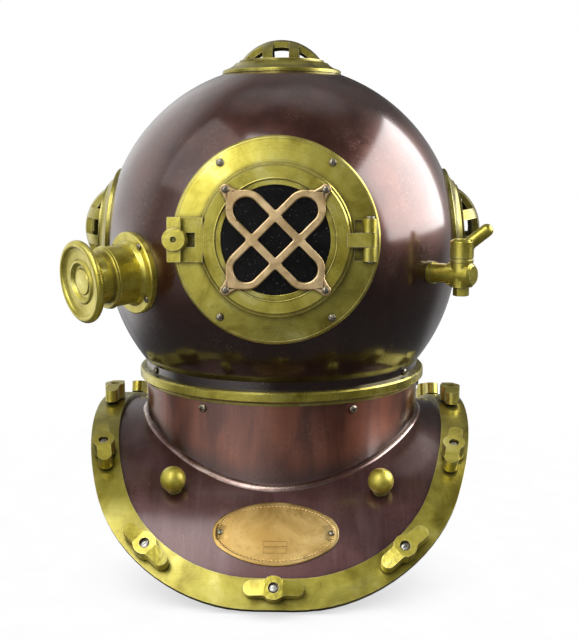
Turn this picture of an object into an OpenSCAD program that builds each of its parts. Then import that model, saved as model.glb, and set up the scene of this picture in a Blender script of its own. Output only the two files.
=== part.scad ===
// Copper and brass diving helmet: a spherical bonnet that locks with an eighth turn onto
// a breastplate, with a hinged front window, three guarded windows, an exhaust valve,
// a spit cock, two hose elbows and twelve wing nuts round the breastplate's strap.
// Z is up, the front window faces -Y, and the table is at z = 0 under the neck's axis.

/* [Bonnet] */
// Outside diameter of the copper bonnet
bonnet_d = 315; // [300:1:325]
// Thickness of the bonnet's copper
shell_t = 3; // [2:0.5:4]
// Height of the straight band between the two halves of the bonnet
band_h = 6; // [2:1:10]
// Height of the bonnet's centre above the table
centre_h = 261; // [261:1:270]
// Outside diameter of the copper neck below the sphere
neck_d = 248; // [240:1:256]
// Angle by which the windows look upward
win_tilt = 5.5; // [0:0.5:8]

/* [Neck joint] */
// Outside diameter of the brass ring round the neck
ring_d = 259.4; // [257:0.2:264]
// Height of the brass ring that shows
ring_h = 8.4; // [6:0.2:10]
// Bonnet's centre down to the top of the brass ring
ring_drop = 107.7; // [106:0.1:110]
// Number of locking lugs round the neck
lug_count = 4; // [3:1:6]
// Angle that each locking lug spans
lug_span = 38; // [20:1:40]
// Height of the locking lugs
lug_h = 4.5; // [3:0.5:6]
// Thickness of the leather ring that seals the neck
leather_t = 1.5; // [1:0.25:2]

/* [Breastplate] */
// Radius of the arch that the breastplate follows over the shoulders
arch_r = 237; // [234:1:240]
// Bonnet's centre down to the axis of that arch
arch_drop = 384.8; // [384:0.2:387]
// Thickness of the breastplate's copper
plate_t = 3; // [2:0.5:4]
// Width across the shoulders, over the strap
plate_w = 335; // [325:1:345]
// Distance from the neck's axis to the strap's front edge
reach = 205; // [202:1:206]
// Radius of the outline's sides
side_arc_r = 411; // [390:1:430]
// Radius of the outline's front corners
corner_arc_r = 139; // [130:1:145]
// Tilt at which the rim is cut, close to square with the plate
edge_tilt = 45; // [40:1:50]
// Height of the strap's upper front edge above its foot
edge_lip = 2.91; // [2.5:0.01:3.5]
// Radius of the collar's hollow profile
collar_arc_r = 300; // [250:10:400]

/* [Strap and wing nuts] */
// Width of the brass strap
strap_w = 23.5; // [21:0.5:26]
// Thickness of the brass strap
strap_t = 4; // [3:0.5:5]
// Arch angle from the strap's front edge back to the front wing nut
nut_front_a = 3.28; // [3:0.02:4]
// Arch angle from the strap's front edge back to the wing nuts at the corners
nut_corner_a = 10.78; // [9:0.02:13]
// Arch angle from the strap's front edge back to the wing nuts at the sides
nut_side_a = 33.28; // [30:0.02:36]
// Diameter of the strap's studs
stud_d = 8; // [6:0.5:9]
// Diameter of a wing nut's hub
nut_hub_d = 18; // [16:0.5:20]
// Width over both wings of a nut
nut_span = 46; // [42:1:50]
// Width of one wing
nut_wing_w = 11.4; // [10:0.2:12]
// Height of a wing nut
nut_h = 15; // [13:0.5:17]
// Slope of the tops of a wing nut's wings
nut_slope = 9; // [4:1:12]
// Diameter of the round lanyard studs
ball_d = 21; // [18:0.5:24]
// Distance between the two lanyard studs
ball_gap = 168; // [150:1:180]
// Arch angle of the lanyard studs
ball_a = 33.5; // [30:0.5:36]

/* [Name plate] */
// Length of the blank oval plate
plate_len = 100; // [90:1:110]
// Height of the blank oval plate
plate_ht = 55; // [48:1:58]
// Radius of the blank plate's ends
plate_end_r = 17; // [12:0.5:20]
// Arch angle of the plate's centre
plate_a = 43.5; // [42:0.5:44]
// Distance between its two screws
plate_screw_gap = 88; // [80:1:90]

/* [Front window] */
// Outside diameter of the front window's frame
frame_d = 161; // [158:1:164]
// Bore of the frame
frame_bore = 104; // [100:1:106]
// How far the frame's face is set back from the sphere's radius
frame_back = 9.5; // [8:0.5:11]
// Outside diameter of the round door
door_d = 119; // [116:0.5:120]
// Thickness of the door
door_t = 10; // [9:0.5:12]
// Diameter of the opening in the door's front
door_open_d = 92.4; // [90:0.2:94]
// Diameter of the glass that shows
glass_d = 84; // [80:0.5:86]
// Distance from the window's centre to the hinge and latch pins
pin_x = 72; // [71:0.25:73]
// Distance from the window's centre to the swing bolt
bolt_x = 76.5; // [76:0.25:78]
// Diameter of the hinge pin
hinge_pin_d = 4.8; // [4:0.2:5.4]
// Diameter of the hinge knuckles
knuckle_d = 11.6; // [11:0.2:12]
// Height of one knuckle
knuckle_h = 10.6; // [9:0.2:12]

/* [Grille] */
// Distance from the window's centre to the middle of a loop's rounded end
loop_reach = 31.6; // [29:0.2:33]
// Outside width of one loop
loop_w = 31.2; // [29:0.2:33]
// Width of the grille's bars
bar_w = 5.8; // [5:0.2:7]
// Thickness of the grille
grille_t = 3.5; // [3:0.25:4.5]
// Distance from the window's centre to the grille's screws
ear_r = 53.8; // [52.5:0.1:54]
// Diameter of the grille's ears
ear_d = 8.6; // [8:0.2:9]
// Half width of the web between a loop and its ear
web_half = 10.4; // [8:0.2:11]

/* [Guarded windows] */
// Outside diameter of a guarded window's ring
win_d = 105; // [102:1:108]
// Diameter of the glass
win_glass_d = 68; // [64:1:70]
// Radius of the domed cage
cage_r = 43.7; // [43:0.1:45]
// Height of the cage over the ring
cage_h = 20.5; // [19:0.5:22]
// Width of the cage's flat bars
cage_bar_w = 8.6; // [7:0.2:10]
// Distance of a bar's middle from the cage's axis
cage_bar_x = 11.4; // [10:0.2:13]
// Thickness of the cage's bars
cage_bar_t = 4.5; // [3.5:0.25:5]

/* [Exhaust valve] */
// Direction of the valve, in degrees to the viewer's left
valve_az = 50; // [46:1:54]
// Angle by which the valve points down
valve_dip = 5; // [2:0.5:8]
// Diameter of the valve's base flange
valve_flange_d = 68; // [64:1:72]
// Diameter of the valve's larger barrel
valve_barrel_d = 49.4; // [47:0.2:52]
// Diameter of the valve's neck
valve_neck_d = 41.4; // [40:0.2:43]
// Diameter of the handwheel
wheel_d = 67; // [64:1:70]
// Thickness of the handwheel
wheel_t = 6.5; // [6:0.5:8]
// Lift of the valve disc
valve_lift = 4; // [2:0.5:5]

/* [Spit cock] */
// Direction of the cock, in degrees to the viewer's right
cock_az = 53; // [50:1:56]
// Bonnet's centre down to the cock's axis
cock_drop = 13; // [11:0.5:15]
// Diameter of the cock's body
cock_d = 18.8; // [18:0.2:20]
// Diameter of the cock's turning plug
plug_d = 10; // [9:0.2:11]
// Length of the lever from the plug's axis
lever_len = 30; // [26:1:32]
// Diameter of the lever
lever_d = 10.6; // [9:0.2:11]

/* [Hose elbows] */
// Direction of the two elbows, in degrees from the front
elbow_az = 148; // [140:1:152]
// Angle by which the elbows point down where they leave the bonnet
elbow_dip = 14; // [10:1:18]
// Diameter of the elbow's tube
elbow_d = 20; // [18:0.5:21]
// Radius of the elbow's bend
elbow_bend_r = 22; // [20:1:24]
// Angle of the elbow's bend
elbow_bend = 45; // [40:1:60]

/* [Fits] */
// Gap between faces that move past each other
gap = 0.3; // [0.2:0.05:0.4]
// Radial play of pins, studs and shafts in their bores
play = 0.1; // [0.06:0.01:0.15]

/* [Hidden] */
$fn = 96;
eps = 0.01;
far = 600;
bore_in = 20;
bore_out = 10;

// Bonnet
bonnet_r = bonnet_d / 2;
cut_in = bonnet_r * 0.4;
cut_out = bonnet_r * 1.5;
neck_r = neck_d / 2;
neck_top = -band_h / 2 - sqrt(pow(bonnet_r, 2) - pow(neck_r, 2));

// Heights at the neck, from the bonnet's centre
ring_top = -ring_drop;
ring_bottom = ring_top - ring_h;
leather_top = ring_bottom - gap;
seat_top = leather_top - leather_t;
flange_t = 2;
collar_top = seat_top - flange_t;
lug_gap_z = 9.3;
lower_lug_bottom = collar_top - lug_gap_z;
lug_top = lower_lug_bottom - gap;
skirt_bottom = lug_top - lug_h;
neck_ring_bottom = skirt_bottom - 3;

// Radii at the neck
seat_r = neck_r - plate_t;
seat_wall = 4;
groove_r = seat_r - seat_wall;
lug_r = groove_r - gap;
lug_depth = 3.7;
hook_r = groove_r - lug_depth;
skirt_r = hook_r - gap;
skirt_t = 5;
bore_r = skirt_r - skirt_t;

// Breastplate
arch_z = -arch_drop;
strap_r = arch_r + strap_t;
under_r = arch_r - plate_t;
shoulder_y = strap_r * sin(edge_tilt);
rim_a = asin(reach / strap_r);
rim_len = strap_r * sin(rim_a - edge_tilt) + shoulder_y;
foot_z = arch_z + strap_r * cos(rim_a) - edge_lip;
rim_half = plate_w / 2;
plate_inset = 0.8;
collar_waist = collar_top - 16;

// Strap nuts, as side and arch angle, forward positive
front_at = rim_a - nut_front_a;
corner_at = rim_a - nut_corner_a;
side_at = rim_a - nut_side_a;
NUT_AT = [
    [0, front_at], [1, corner_at], [1, side_at], [1, 0], [1, -side_at], [1, -corner_at],
    [0, -front_at], [-1, -corner_at], [-1, -side_at], [-1, 0], [-1, side_at], [-1, corner_at]];
stud_r = stud_d / 2;
nut_hub_r = nut_hub_d / 2;
nut_wing_r = nut_wing_w / 2;
lanyard_r = 3;

// Front window, as heights along its axis from the middle of the upper half sphere
frame_face = bonnet_r - frame_back;
frame_r = frame_d / 2;
frame_in = frame_bore / 2;
sleeve_r = frame_in + 10;
sleeve_end = sqrt(pow(bonnet_r - shell_t, 2) - pow(sleeve_r, 2)) - 5;
door_r = door_d / 2;
door_back = frame_face + gap;
door_face = door_back + door_t;
step_r = door_open_d / 2;
glass_r = glass_d / 2;
glass_seat_r = glass_r + 3;
pin_h = frame_face + knuckle_d / 2 + 0.2;
bolt_h = frame_face - 4.5;
eye_r = 4.8;
eye_h = 9;
latch_pin_r = 2.2;
shank_r = 3.8;
slot_half = 5.5;
lug_half = 17;

// Guarded windows
win_r = win_d / 2;
win_face = bonnet_r + 0.8;
win_glass_r = win_glass_d / 2;
win_hole_r = win_glass_r + 3;
cage_base = win_face + 2.4;
cage_mid = cage_base + cage_h - 2.4 - cage_r;
cage_foot_r = sqrt(pow(cage_r, 2) - pow(cage_base - cage_mid, 2));

// Exhaust valve, as heights along its axis
flange_face = bonnet_r + 2;
valve_screw_r = valve_flange_d / 2 - 3.7;
barrel_end = bonnet_r + 23;
neck_end = bonnet_r + 42.5;
wheel_back = neck_end + gap;
wheel_face = wheel_back + wheel_t;
chamber_r = 15.5;
port_r = 12;
seat_h = bonnet_r - 5.5;
valve_sleeve_r = 20;
stem_r = 2.4;
spindle_r = 5;
disc_t = 3;
spring_len = 8.5;
seat_travel = 3;
follower_h = seat_h + gap + disc_t + spring_len + valve_lift + seat_travel + 4 * gap;

// Spit cock, as distances from the neck's axis
cock_r = cock_d / 2;
cock_x = bonnet_r + 27.5;
nipple_r = 7.9;
plug_r = plug_d / 2;
cap_r = 9.5;
cap_h = 18.5;

// Hose elbows
elbow_r = elbow_d / 2;

module brass() { color([0.71, 0.62, 0.24]) children(); }
module old_brass() { color([0.62, 0.52, 0.22]) children(); }
module copper() { color([0.29, 0.16, 0.13]) children(); }
module bronze() { color([0.66, 0.47, 0.30]) children(); }
module steel() { color([0.72, 0.72, 0.70]) children(); }

// Places children at a direction from the point at height z, with local Z pointing outward
module toward(az, up, z) {
    translate([0, 0, z]) rotate([90 - up, 0, az]) children();
}
module bonnet_frame() { translate([0, 0, centre_h]) children(); }
module front_axis() { toward(0, win_tilt, centre_h + band_h / 2) children(); }
module top_axis() { translate([0, 0, centre_h + band_h / 2]) children(); }
module side_axis(side) { toward(90 * side, win_tilt, centre_h + band_h / 2) children(); }
module valve_axis() { toward(-valve_az, -valve_dip, centre_h) children(); }
module cock_axis() { toward(cock_az, 0, centre_h - cock_drop) children(); }
module elbow_axis(side) { toward(elbow_az * side, -elbow_dip, centre_h) children(); }

// Half of the bonnet's section, a circle with a straight band at its middle
module dome_half(r) {
    intersection() {
        union() {
            translate([0, band_h / 2]) circle(r = r);
            translate([0, -band_h / 2]) circle(r = r);
            translate([-r, -band_h / 2]) square([2 * r, band_h]);
        }
        translate([0, -far]) square([far, 2 * far]);
    }
}
module dome_solid() {
    bonnet_frame() rotate_extrude($fn = 240) dome_half(bonnet_r, $fn = 240);
}
module tube(r_out, r_in, h0, h1) {
    translate([0, 0, h0]) difference() {
        cylinder(r = r_out, h = h1 - h0);
        translate([0, 0, -1]) cylinder(r = r_in, h = h1 - h0 + 2);
    }
}
module rod(r, h0, h1) { translate([0, 0, h0]) cylinder(r = r, h = h1 - h0); }

// Wedge that keeps the lugs of a neck ring
module lug_wedge(span, z0, z1) {
    for (i = [0 : lug_count - 1])
        rotate([0, 0, i * 360 / lug_count])
            translate([0, 0, z0])
                linear_extrude(z1 - z0)
                    polygon([[0, 0], [far * sin(span / 2), -far * cos(span / 2)],
                        [0, -far], [-far * sin(span / 2), -far * cos(span / 2)]]);
}

// Outline of the rim in the tilted plane, of side and corner arcs that meet smoothly
side_mid = rim_half - side_arc_r;
corner_y = rim_len - corner_arc_r;
corner_x = side_mid + sqrt(pow(side_arc_r - corner_arc_r, 2) - pow(corner_y, 2));
// Half width of the outline at a distance s in front of the shoulder line
function in_side_arc(s, inset) = s < corner_y * (side_arc_r - inset) / (side_arc_r - corner_arc_r);
function outline_x(s, inset) = in_side_arc(s, inset)
    ? side_mid + sqrt(pow(side_arc_r - inset, 2) - pow(s, 2))
    : corner_x + sqrt(pow(corner_arc_r - inset, 2) - pow(s - corner_y, 2));
// Points along an arc, from angle a to angle b
function arc_points(x, y, r, a, b) = let (steps = ceil(r * abs(b - a) / 600))
    [for (i = [0 : steps]) let (t = a + (b - a) * i / steps) [x + r * cos(t), y + r * sin(t)]];
function rim_side(inset) = let (w = atan2(corner_y, corner_x - side_mid))
    concat(arc_points(side_mid, 0, side_arc_r - inset, w, -w),
        arc_points(corner_x, -corner_y, corner_arc_r - inset, -w - 3, -90));
module rim_outline(inset) {
    right = rim_side(inset);
    left = [for (i = [len(right) - 1 : -1 : 0]) [-right[i][0], right[i][1]]];
    polygon(concat(right, left));
}
// Front half of a curved sheet inside the rim, cut square to the sheet
module sheet_front(r_out, r_in) {
    intersection() {
        difference() {
            arch_cylinder(r_out);
            arch_cylinder(r_in);
        }
        tilted() children();
        bonnet_frame() translate([-far, -far, foot_z]) cube([2 * far, far, far]);
    }
}
module tilted() {
    bonnet_frame() translate([0, 0, arch_z]) rotate([edge_tilt, 0, 0])
        translate([0, shoulder_y, strap_r / 3]) linear_extrude(strap_r) children();
}
module arch_cylinder(r) {
    bonnet_frame() translate([-far / 2, 0, arch_z])
        rotate([0, 90, 0]) cylinder(r = r, h = far, $fn = 240);
}

// Middle of the strap's width, where the studs stand
function nut_s(a) = strap_r * sin(abs(a) - edge_tilt) + shoulder_y;
function nut_x(i) = NUT_AT[i][0] * outline_x(nut_s(NUT_AT[i][1]), strap_w / 2);
function nut_turn(i) = let (s = nut_s(NUT_AT[i][1]), x = abs(nut_x(i)), m = strap_w / 2)
    NUT_AT[i][0] == 0 ? 0
    : NUT_AT[i][0] * (NUT_AT[i][1] < 0 ? -1 : 1)
        * (in_side_arc(s, m)
            ? atan2(x - side_mid, s)
            : atan2(x - corner_x, s - corner_y));
module at_nut(i) {
    bonnet_frame() translate([nut_x(i), 0, arch_z])
        rotate([NUT_AT[i][1], 0, 0])
            translate([0, 0, strap_r])
                rotate([0, 0, nut_turn(i)]) children();
}
module at_arch(x, a, r) {
    bonnet_frame() translate([x, 0, arch_z]) rotate([a, 0, 0]) translate([0, 0, r]) children();
}

// Breastplate

module collar_wall() {
    mid = [neck_r + collar_arc_r, collar_waist];
    bonnet_frame() rotate_extrude() {
        intersection() {
            difference() {
                translate(mid) circle(r = collar_arc_r + plate_t, $fn = 240);
                translate(mid) circle(r = collar_arc_r, $fn = 240);
            }
            translate([seat_r, collar_top - 80]) square([30, 80]);
        }
        translate([seat_r, neck_ring_bottom]) square([plate_t, collar_top - neck_ring_bottom]);
    }
}

module corselet() {
    copper() difference() {
        union() {
            for (s = [0, 1])
                mirror([0, s, 0])
                    difference() {
                        sheet_front(arch_r, under_r) rim_outline(plate_inset);
                        translate([0, 0, centre_h - far]) cylinder(r = seat_r + 1, h = far);
                    }
            difference() {
                collar_wall();
                arch_cylinder(under_r);
            }
        }
        for (i = [0 : 11])
            at_nut(i) rod(stud_r + play / 2, -bore_in, bore_out);
        for (x = [-1, 1])
            at_arch(x * ball_gap / 2, ball_a, arch_r) rod(lanyard_r, -bore_in, bore_out);
        neck_screw_bores();
        plate_screw_bores();
    }
}

module strap_half(back) {
    mirror([0, back ? 1 : 0, 0])
        difference() {
            sheet_front(strap_r, arch_r) difference() {
                rim_outline(0);
                rim_outline(strap_w);
            }
            for (i = [0 : 11])
                at_nut(i) rod(stud_r + play / 2, -bore_in, bore_out);
        }
}
module strap_front() { brass() strap_half(false); }
module strap_back() { brass() strap_half(true); }

// Studs with a flat hexagon head under the copper and a plain end inside each nut
module strap_studs() {
    steel() for (i = [0 : 11]) {
        intersection() {
            at_nut(i) translate([0, 0, -strap_t - plate_t - 4]) cylinder(r = 7, h = 8, $fn = 6);
            arch_cylinder(under_r);
            bonnet_frame() translate([-far, -far, foot_z]) cube([2 * far, 2 * far, far]);
        }
        at_nut(i) rod(stud_r, -strap_t - plate_t - 2, nut_h - 3);
    }
}

module neck_ring() {
    old_brass() bonnet_frame() difference() {
        union() {
            tube(neck_r, groove_r, collar_top, seat_top);
            tube(seat_r, groove_r, neck_ring_bottom, collar_top + eps);
            intersection() {
                tube(groove_r + 1, hook_r, lower_lug_bottom, seat_top);
                lug_wedge(lug_span, lower_lug_bottom, seat_top);
            }
        }
        translate([0, 0, -centre_h]) neck_screw_bores();
    }
}
module neck_leather() {
    color([0.28, 0.17, 0.10]) bonnet_frame() tube(neck_r, groove_r, seat_top, leather_top);
}

neck_screw_z = collar_top - 5.5;
module at_neck_screws() {
    for (a = [30, 90, 150, 210, 270, 330])
        toward(a, 0, centre_h + neck_screw_z) children();
}
module neck_screw_bores() { at_neck_screws() rod(1.5, seat_r - 3, neck_r + 4); }
module pan_head(r, h0) {
    translate([0, 0, h0]) intersection() {
        cylinder(r = r, h = r);
        translate([0, 0, r * 0.6 - r * 1.25]) sphere(r = r * 1.25);
    }
}
module neck_screws() {
    steel() at_neck_screws() {
        rod(1.5, seat_r - 3, neck_r + 1.2);
        pan_head(2.8, neck_r + 0.4);
    }
}

module lanyard_stud(side) {
    brass() {
        difference() {
            at_arch(side * ball_gap / 2, ball_a, arch_r) {
                rod(4.5, -1, ball_d / 2);
                rod(6.5, -1, 1.6);
                translate([0, 0, ball_d / 2 + 1]) sphere(r = ball_d / 2);
            }
            arch_cylinder(arch_r);
        }
        at_arch(side * ball_gap / 2, ball_a, arch_r) rod(lanyard_r, -plate_t - 1.5, 2);
    }
}
module lanyard_stud_left() { lanyard_stud(-1); }
module lanyard_stud_right() { lanyard_stud(1); }

// Oval of four arcs, with half length a, half height b and end radius e
module oval(a, b, e) {
    big = (pow(a - e, 2) + pow(b, 2) - pow(e, 2)) / (2 * (b - e));
    meet_x = big * (a - e) / sqrt(pow(a - e, 2) + pow(big - b, 2));
    for (s = [-1, 1]) translate([s * (a - e), 0]) circle(r = e);
    intersection() {
        translate([0, b - big]) circle(r = big, $fn = 240);
        translate([0, big - b]) circle(r = big, $fn = 240);
        square([2 * meet_x, 2 * b + 1], center = true);
    }
}
name_t = 1.2;
module name_plate() {
    brass() difference() {
        intersection() {
            at_arch(0, plate_a, arch_r - bore_in) linear_extrude(2 * bore_in)
                oval(plate_len / 2, plate_ht / 2, plate_end_r);
            arch_cylinder(arch_r + name_t);
        }
        arch_cylinder(arch_r);
        plate_screw_bores();
    }
}
module at_plate_screws() {
    for (s = [-1, 1]) at_arch(s * plate_screw_gap / 2, plate_a, arch_r) children();
}
module plate_screw_bores() { at_plate_screws() rod(1.25, -plate_t - 1, 4); }
module plate_screws() {
    steel() at_plate_screws() {
        rod(1.25, -plate_t, name_t + 1);
        pan_head(2.3, name_t);
    }
}

// Wing nut, with its wings along X and its foot just over the strap

module wing_plan() {
    flank = 6;
    flank_y = nut_wing_r + flank;
    flank_x = sqrt(pow(nut_hub_r + flank, 2) - pow(flank_y, 2));
    circle(r = nut_hub_r);
    square([nut_span - nut_wing_w, nut_wing_w], center = true);
    for (s = [-1, 1]) translate([s * (nut_span / 2 - nut_wing_r), 0]) circle(r = nut_wing_r);
    for (mx = [0, 1], my = [0, 1])
        mirror([mx, 0]) mirror([0, my])
            difference() {
                polygon([[0, 0], [flank_x, 0], [flank_x, flank_y], [0, flank_y]]);
                translate([flank_x, flank_y]) circle(r = flank);
                translate([0, nut_hub_r - 1]) square([flank_x * nut_hub_r / (nut_hub_r + flank),
                    flank]);
            }
}
module wing_nut() {
    difference() {
        union() {
            translate([0, 0, 2]) linear_extrude(nut_h - 2) wing_plan();
            rod(nut_hub_r - 1, gap, 3);
        }
        for (s = [0, 1])
            mirror([s, 0, 0])
                translate([nut_hub_r - 2, -nut_span / 2, nut_h])
                    rotate([0, nut_slope, 0]) cube([nut_span, nut_span, nut_h]);
        rod(stud_r + play, -1, nut_h + 1);
    }
}
module strap_nut(i) { brass() at_nut(i) wing_nut(); }
module strap_nut_01() { strap_nut(0); }
module strap_nut_02() { strap_nut(1); }
module strap_nut_03() { strap_nut(2); }
module strap_nut_04() { strap_nut(3); }
module strap_nut_05() { strap_nut(4); }
module strap_nut_06() { strap_nut(5); }
module strap_nut_07() { strap_nut(6); }
module strap_nut_08() { strap_nut(7); }
module strap_nut_09() { strap_nut(8); }
module strap_nut_10() { strap_nut(9); }
module strap_nut_11() { strap_nut(10); }
module strap_nut_12() { strap_nut(11); }

// Bonnet

module bonnet() {
    copper() difference() {
        bonnet_frame() rotate_extrude() {
            difference() {
                dome_half(bonnet_r);
                dome_half(bonnet_r - shell_t);
                translate([0, neck_top - far]) square([far, far]);
            }
            translate([neck_r - shell_t, ring_top]) square([shell_t, neck_top - ring_top + 0.5]);
        }
        front_axis() rod(sleeve_r, cut_in, cut_out);
        top_axis() rod(win_hole_r, cut_in, cut_out);
        for (s = [-1, 1]) side_axis(s) rod(win_hole_r, cut_in, cut_out);
        valve_axis() rod(valve_sleeve_r, cut_in, cut_out);
        cock_axis() rod(nipple_r, cut_in, cut_out);
        for (s = [-1, 1]) elbow_axis(s) rod(elbow_r, cut_in, cut_out);
        bonnet_screw_bores();
        frame_screw_bores();
        valve_screw_bores();
    }
}

upstand = 6;
bonnet_screw_z = ring_top + 4;
module at_bonnet_screws() {
    for (a = [60, 120, 240, 300]) toward(a, 0, centre_h + bonnet_screw_z) children();
}
module bonnet_screw_bores() {
    at_bonnet_screws() rod(1.5, neck_r - shell_t - 4, neck_r + 4);
}
module bonnet_screws() {
    steel() at_bonnet_screws() {
        rod(1.5, neck_r - shell_t - 4, neck_r + 1.2);
        pan_head(2.6, neck_r + 0.4);
    }
}
module bonnet_ring() {
    ring_r = ring_d / 2;
    soft = 1.2;
    brass() bonnet_frame() difference() {
        union() {
            rotate_extrude()
                polygon([[bore_r, ring_bottom], [ring_r - soft, ring_bottom],
                    [ring_r, ring_bottom + soft], [ring_r, ring_top - soft],
                    [ring_r - soft, ring_top], [bore_r, ring_top]]);
            tube(neck_r - shell_t, neck_r - shell_t - 6, ring_top - eps, ring_top + upstand);
            tube(skirt_r, bore_r, skirt_bottom, ring_bottom + eps);
            intersection() {
                tube(lug_r, skirt_r - 1, skirt_bottom, lug_top);
                lug_wedge(lug_span, skirt_bottom, lug_top);
            }
        }
        translate([0, 0, -centre_h]) bonnet_screw_bores();
    }
}

// Front window

frame_screw_r = 73.5;
module at_frame_screws() {
    for (a = [54, 126, 234, 306])
        rotate([0, 0, a]) translate([frame_screw_r, 0, frame_face]) children();
}
module frame_screw_bores() { front_axis() at_frame_screws() rod(1.6, -20, 4); }
module frame_screws() {
    steel() front_axis() at_frame_screws() {
        rod(1.6, -14, 0.8);
        pan_head(3, 0);
    }
}
seal_in = frame_in + 1;
seal_out = frame_in + 5;
// Upright cylinder in the window's own frame, centred on its middle height
module upright(x, h, r, len) {
    translate([x, len / 2, h]) rotate([90, 0, 0]) cylinder(r = r, h = len);
}
module knuckle(y_mid) {
    translate([0, y_mid, 0]) {
        upright(pin_x, pin_h, knuckle_d / 2, knuckle_h);
        translate([pin_x - knuckle_d / 2, -knuckle_h / 2, frame_face - 4])
            cube([knuckle_d, knuckle_h, pin_h - frame_face + 4]);
    }
}
knuckle_y = knuckle_h + gap;
ear_half = 16;
pin_cut = 4 * ear_half;
module front_frame() {
    ear_in = bolt_x - 6;
    ear_out = bolt_x + 8;
    brass() difference() {
        union() {
            difference() {
                front_axis() {
                    rotate_extrude()
                        polygon([[frame_in, 110], [frame_r, 110], [frame_r, frame_face - 1.2],
                            [frame_r - 1.2, frame_face], [frame_in, frame_face]]);
                    translate([-ear_out, -ear_half, frame_face - 20])
                        cube([ear_out - ear_in, 2 * ear_half, 20]);
                }
                dome_solid();
            }
            front_axis() {
                tube(sleeve_r, frame_in, sleeve_end, frame_face);
                for (s = [-1, 1]) knuckle(s * knuckle_y);
            }
        }
        front_axis() {
            for (s = [-1, 1])
                translate([door_r + 1, s * knuckle_y - knuckle_h / 2 + 0.5, frame_face - 3])
                    cube([pin_x - knuckle_d / 2 - door_r - 1, knuckle_h - 1, 10]);
            tube(seal_out, seal_in, frame_face - 2, frame_face + 5);
            upright(pin_x, pin_h, hinge_pin_d / 2, pin_cut);
            upright(-bolt_x, bolt_h, latch_pin_r, pin_cut);
            translate([-bolt_x - 20, -eye_h / 2 - gap, bolt_h - eye_r - 0.8])
                cube([20 + eye_r + 1, eye_h + 2 * gap, 30]);
            at_frame_screws() rod(1.6, -20, 4);
        }
    }
}
module frame_seal() {
    color([0.12, 0.11, 0.10]) front_axis() tube(seal_out, seal_in, frame_face - 2, frame_face);
}
module hinge_pin() {
    steel() front_axis() {
        upright(pin_x, pin_h, hinge_pin_d / 2, 2 * knuckle_y + knuckle_h + 2);
        translate([0, knuckle_y + knuckle_h / 2 + 1, 0])
            upright(pin_x, pin_h, hinge_pin_d / 2 + 1, 2);
    }
}
module latch_pin() {
    steel() front_axis()
        upright(-bolt_x, bolt_h, latch_pin_r, 2 * ear_half + 1);
}

module loop_plan(w) {
    for (s = [-1, 1]) translate([s * loop_reach, 0]) circle(r = w / 2);
    square([2 * loop_reach, w], center = true);
}
// Web that narrows from a loop to its ear
module ear_web() {
    edge = [[loop_reach, web_half], [loop_reach + 11.5, web_half],
        [loop_reach + 16, web_half * 0.55], [ear_r, ear_d / 2 - 0.2]];
    polygon(concat([for (p = edge) [p[0], -p[1]]],
        [for (i = [len(edge) - 1 : -1 : 0]) edge[i]]));
}
// Two long loops that cross, each with an ear at both ends
module grille_plan() {
    for (a = [45, 135]) rotate(a) {
        difference() {
            union() {
                loop_plan(loop_w);
                for (end = [0, 180]) rotate(end) {
                    translate([ear_r, 0]) circle(r = ear_d / 2);
                    ear_web();
                }
            }
            loop_plan(loop_w - 2 * bar_w);
            for (s = [-1, 1]) translate([s * ear_r, 0]) circle(r = 1.7);
        }
    }
}
module grille() {
    bronze() front_axis() translate([0, 0, door_face]) linear_extrude(grille_t) grille_plan();
}
module at_grille_screws() {
    front_axis() for (a = [45, 135, 225, 315])
        rotate([0, 0, a]) translate([ear_r, 0, door_face + grille_t]) children();
}
module grille_screws() {
    steel() at_grille_screws() {
        rod(1.7, -grille_t - 5, 0.8);
        pan_head(2.7, 0);
    }
}

retainer_t = 3;
glass_top = door_face - retainer_t;
glass_bottom = door_back + 2;
module door_ring() {
    nut_circle = door_face - bolt_h;
    brass() difference() {
        front_axis() difference() {
            union() {
                rotate_extrude()
                    polygon([[glass_r, door_back], [door_r, door_back],
                        [door_r, door_back + 5], [door_r - 0.8, door_back + 5.8],
                        [door_r - 2.5, door_back + 5.8], [door_r - 2.5, door_face - 1],
                        [door_r - 3.5, door_face], [step_r, door_face], [step_r, glass_top],
                        [glass_seat_r, glass_top], [glass_seat_r, glass_bottom],
                        [glass_r, glass_bottom]]);
                upright(pin_x, pin_h, knuckle_d / 2, knuckle_h);
                translate([door_r - 5, -knuckle_h / 2, door_back])
                    cube([pin_x - door_r + 5, knuckle_h, pin_h + knuckle_d / 2 - door_back]);
                intersection() {
                    translate([-bolt_x - 5.5, -lug_half, door_back])
                        cube([bolt_x + 5.5 - door_r + 4, 2 * lug_half, door_t]);
                    union() {
                        translate([-bolt_x, -lug_half, door_back])
                            cube([bolt_x, 2 * lug_half, door_t]);
                        upright(-bolt_x, bolt_h, nut_circle - gap, 2 * lug_half);
                    }
                }
            }
            upright(pin_x, pin_h, hinge_pin_d / 2 + play, pin_cut);
            translate([-bolt_x - 20, -slot_half, door_back - 1])
                cube([20 + 15, 2 * slot_half, 30]);
            rod(glass_r, 0, door_back + 1);
        }
        at_grille_screws() rod(1.7, -grille_t - 5, 4);
    }
}
module door_glass() {
    color([0.08, 0.09, 0.09, 0.8]) front_axis() rod(glass_seat_r, glass_bottom, glass_top);
}
module glass_retainer() {
    brass() front_axis() tube(step_r, glass_r, glass_top, glass_top + 1.8);
}

bolt_tip = 31;
module swing_bolt() {
    brass() front_axis() difference() {
        union() {
            upright(-bolt_x, bolt_h, eye_r, eye_h);
            translate([-bolt_x, 0, bolt_h]) cylinder(r = shank_r, h = bolt_tip - 6);
        }
        upright(-bolt_x, bolt_h, latch_pin_r + play, pin_cut);
    }
}
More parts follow.
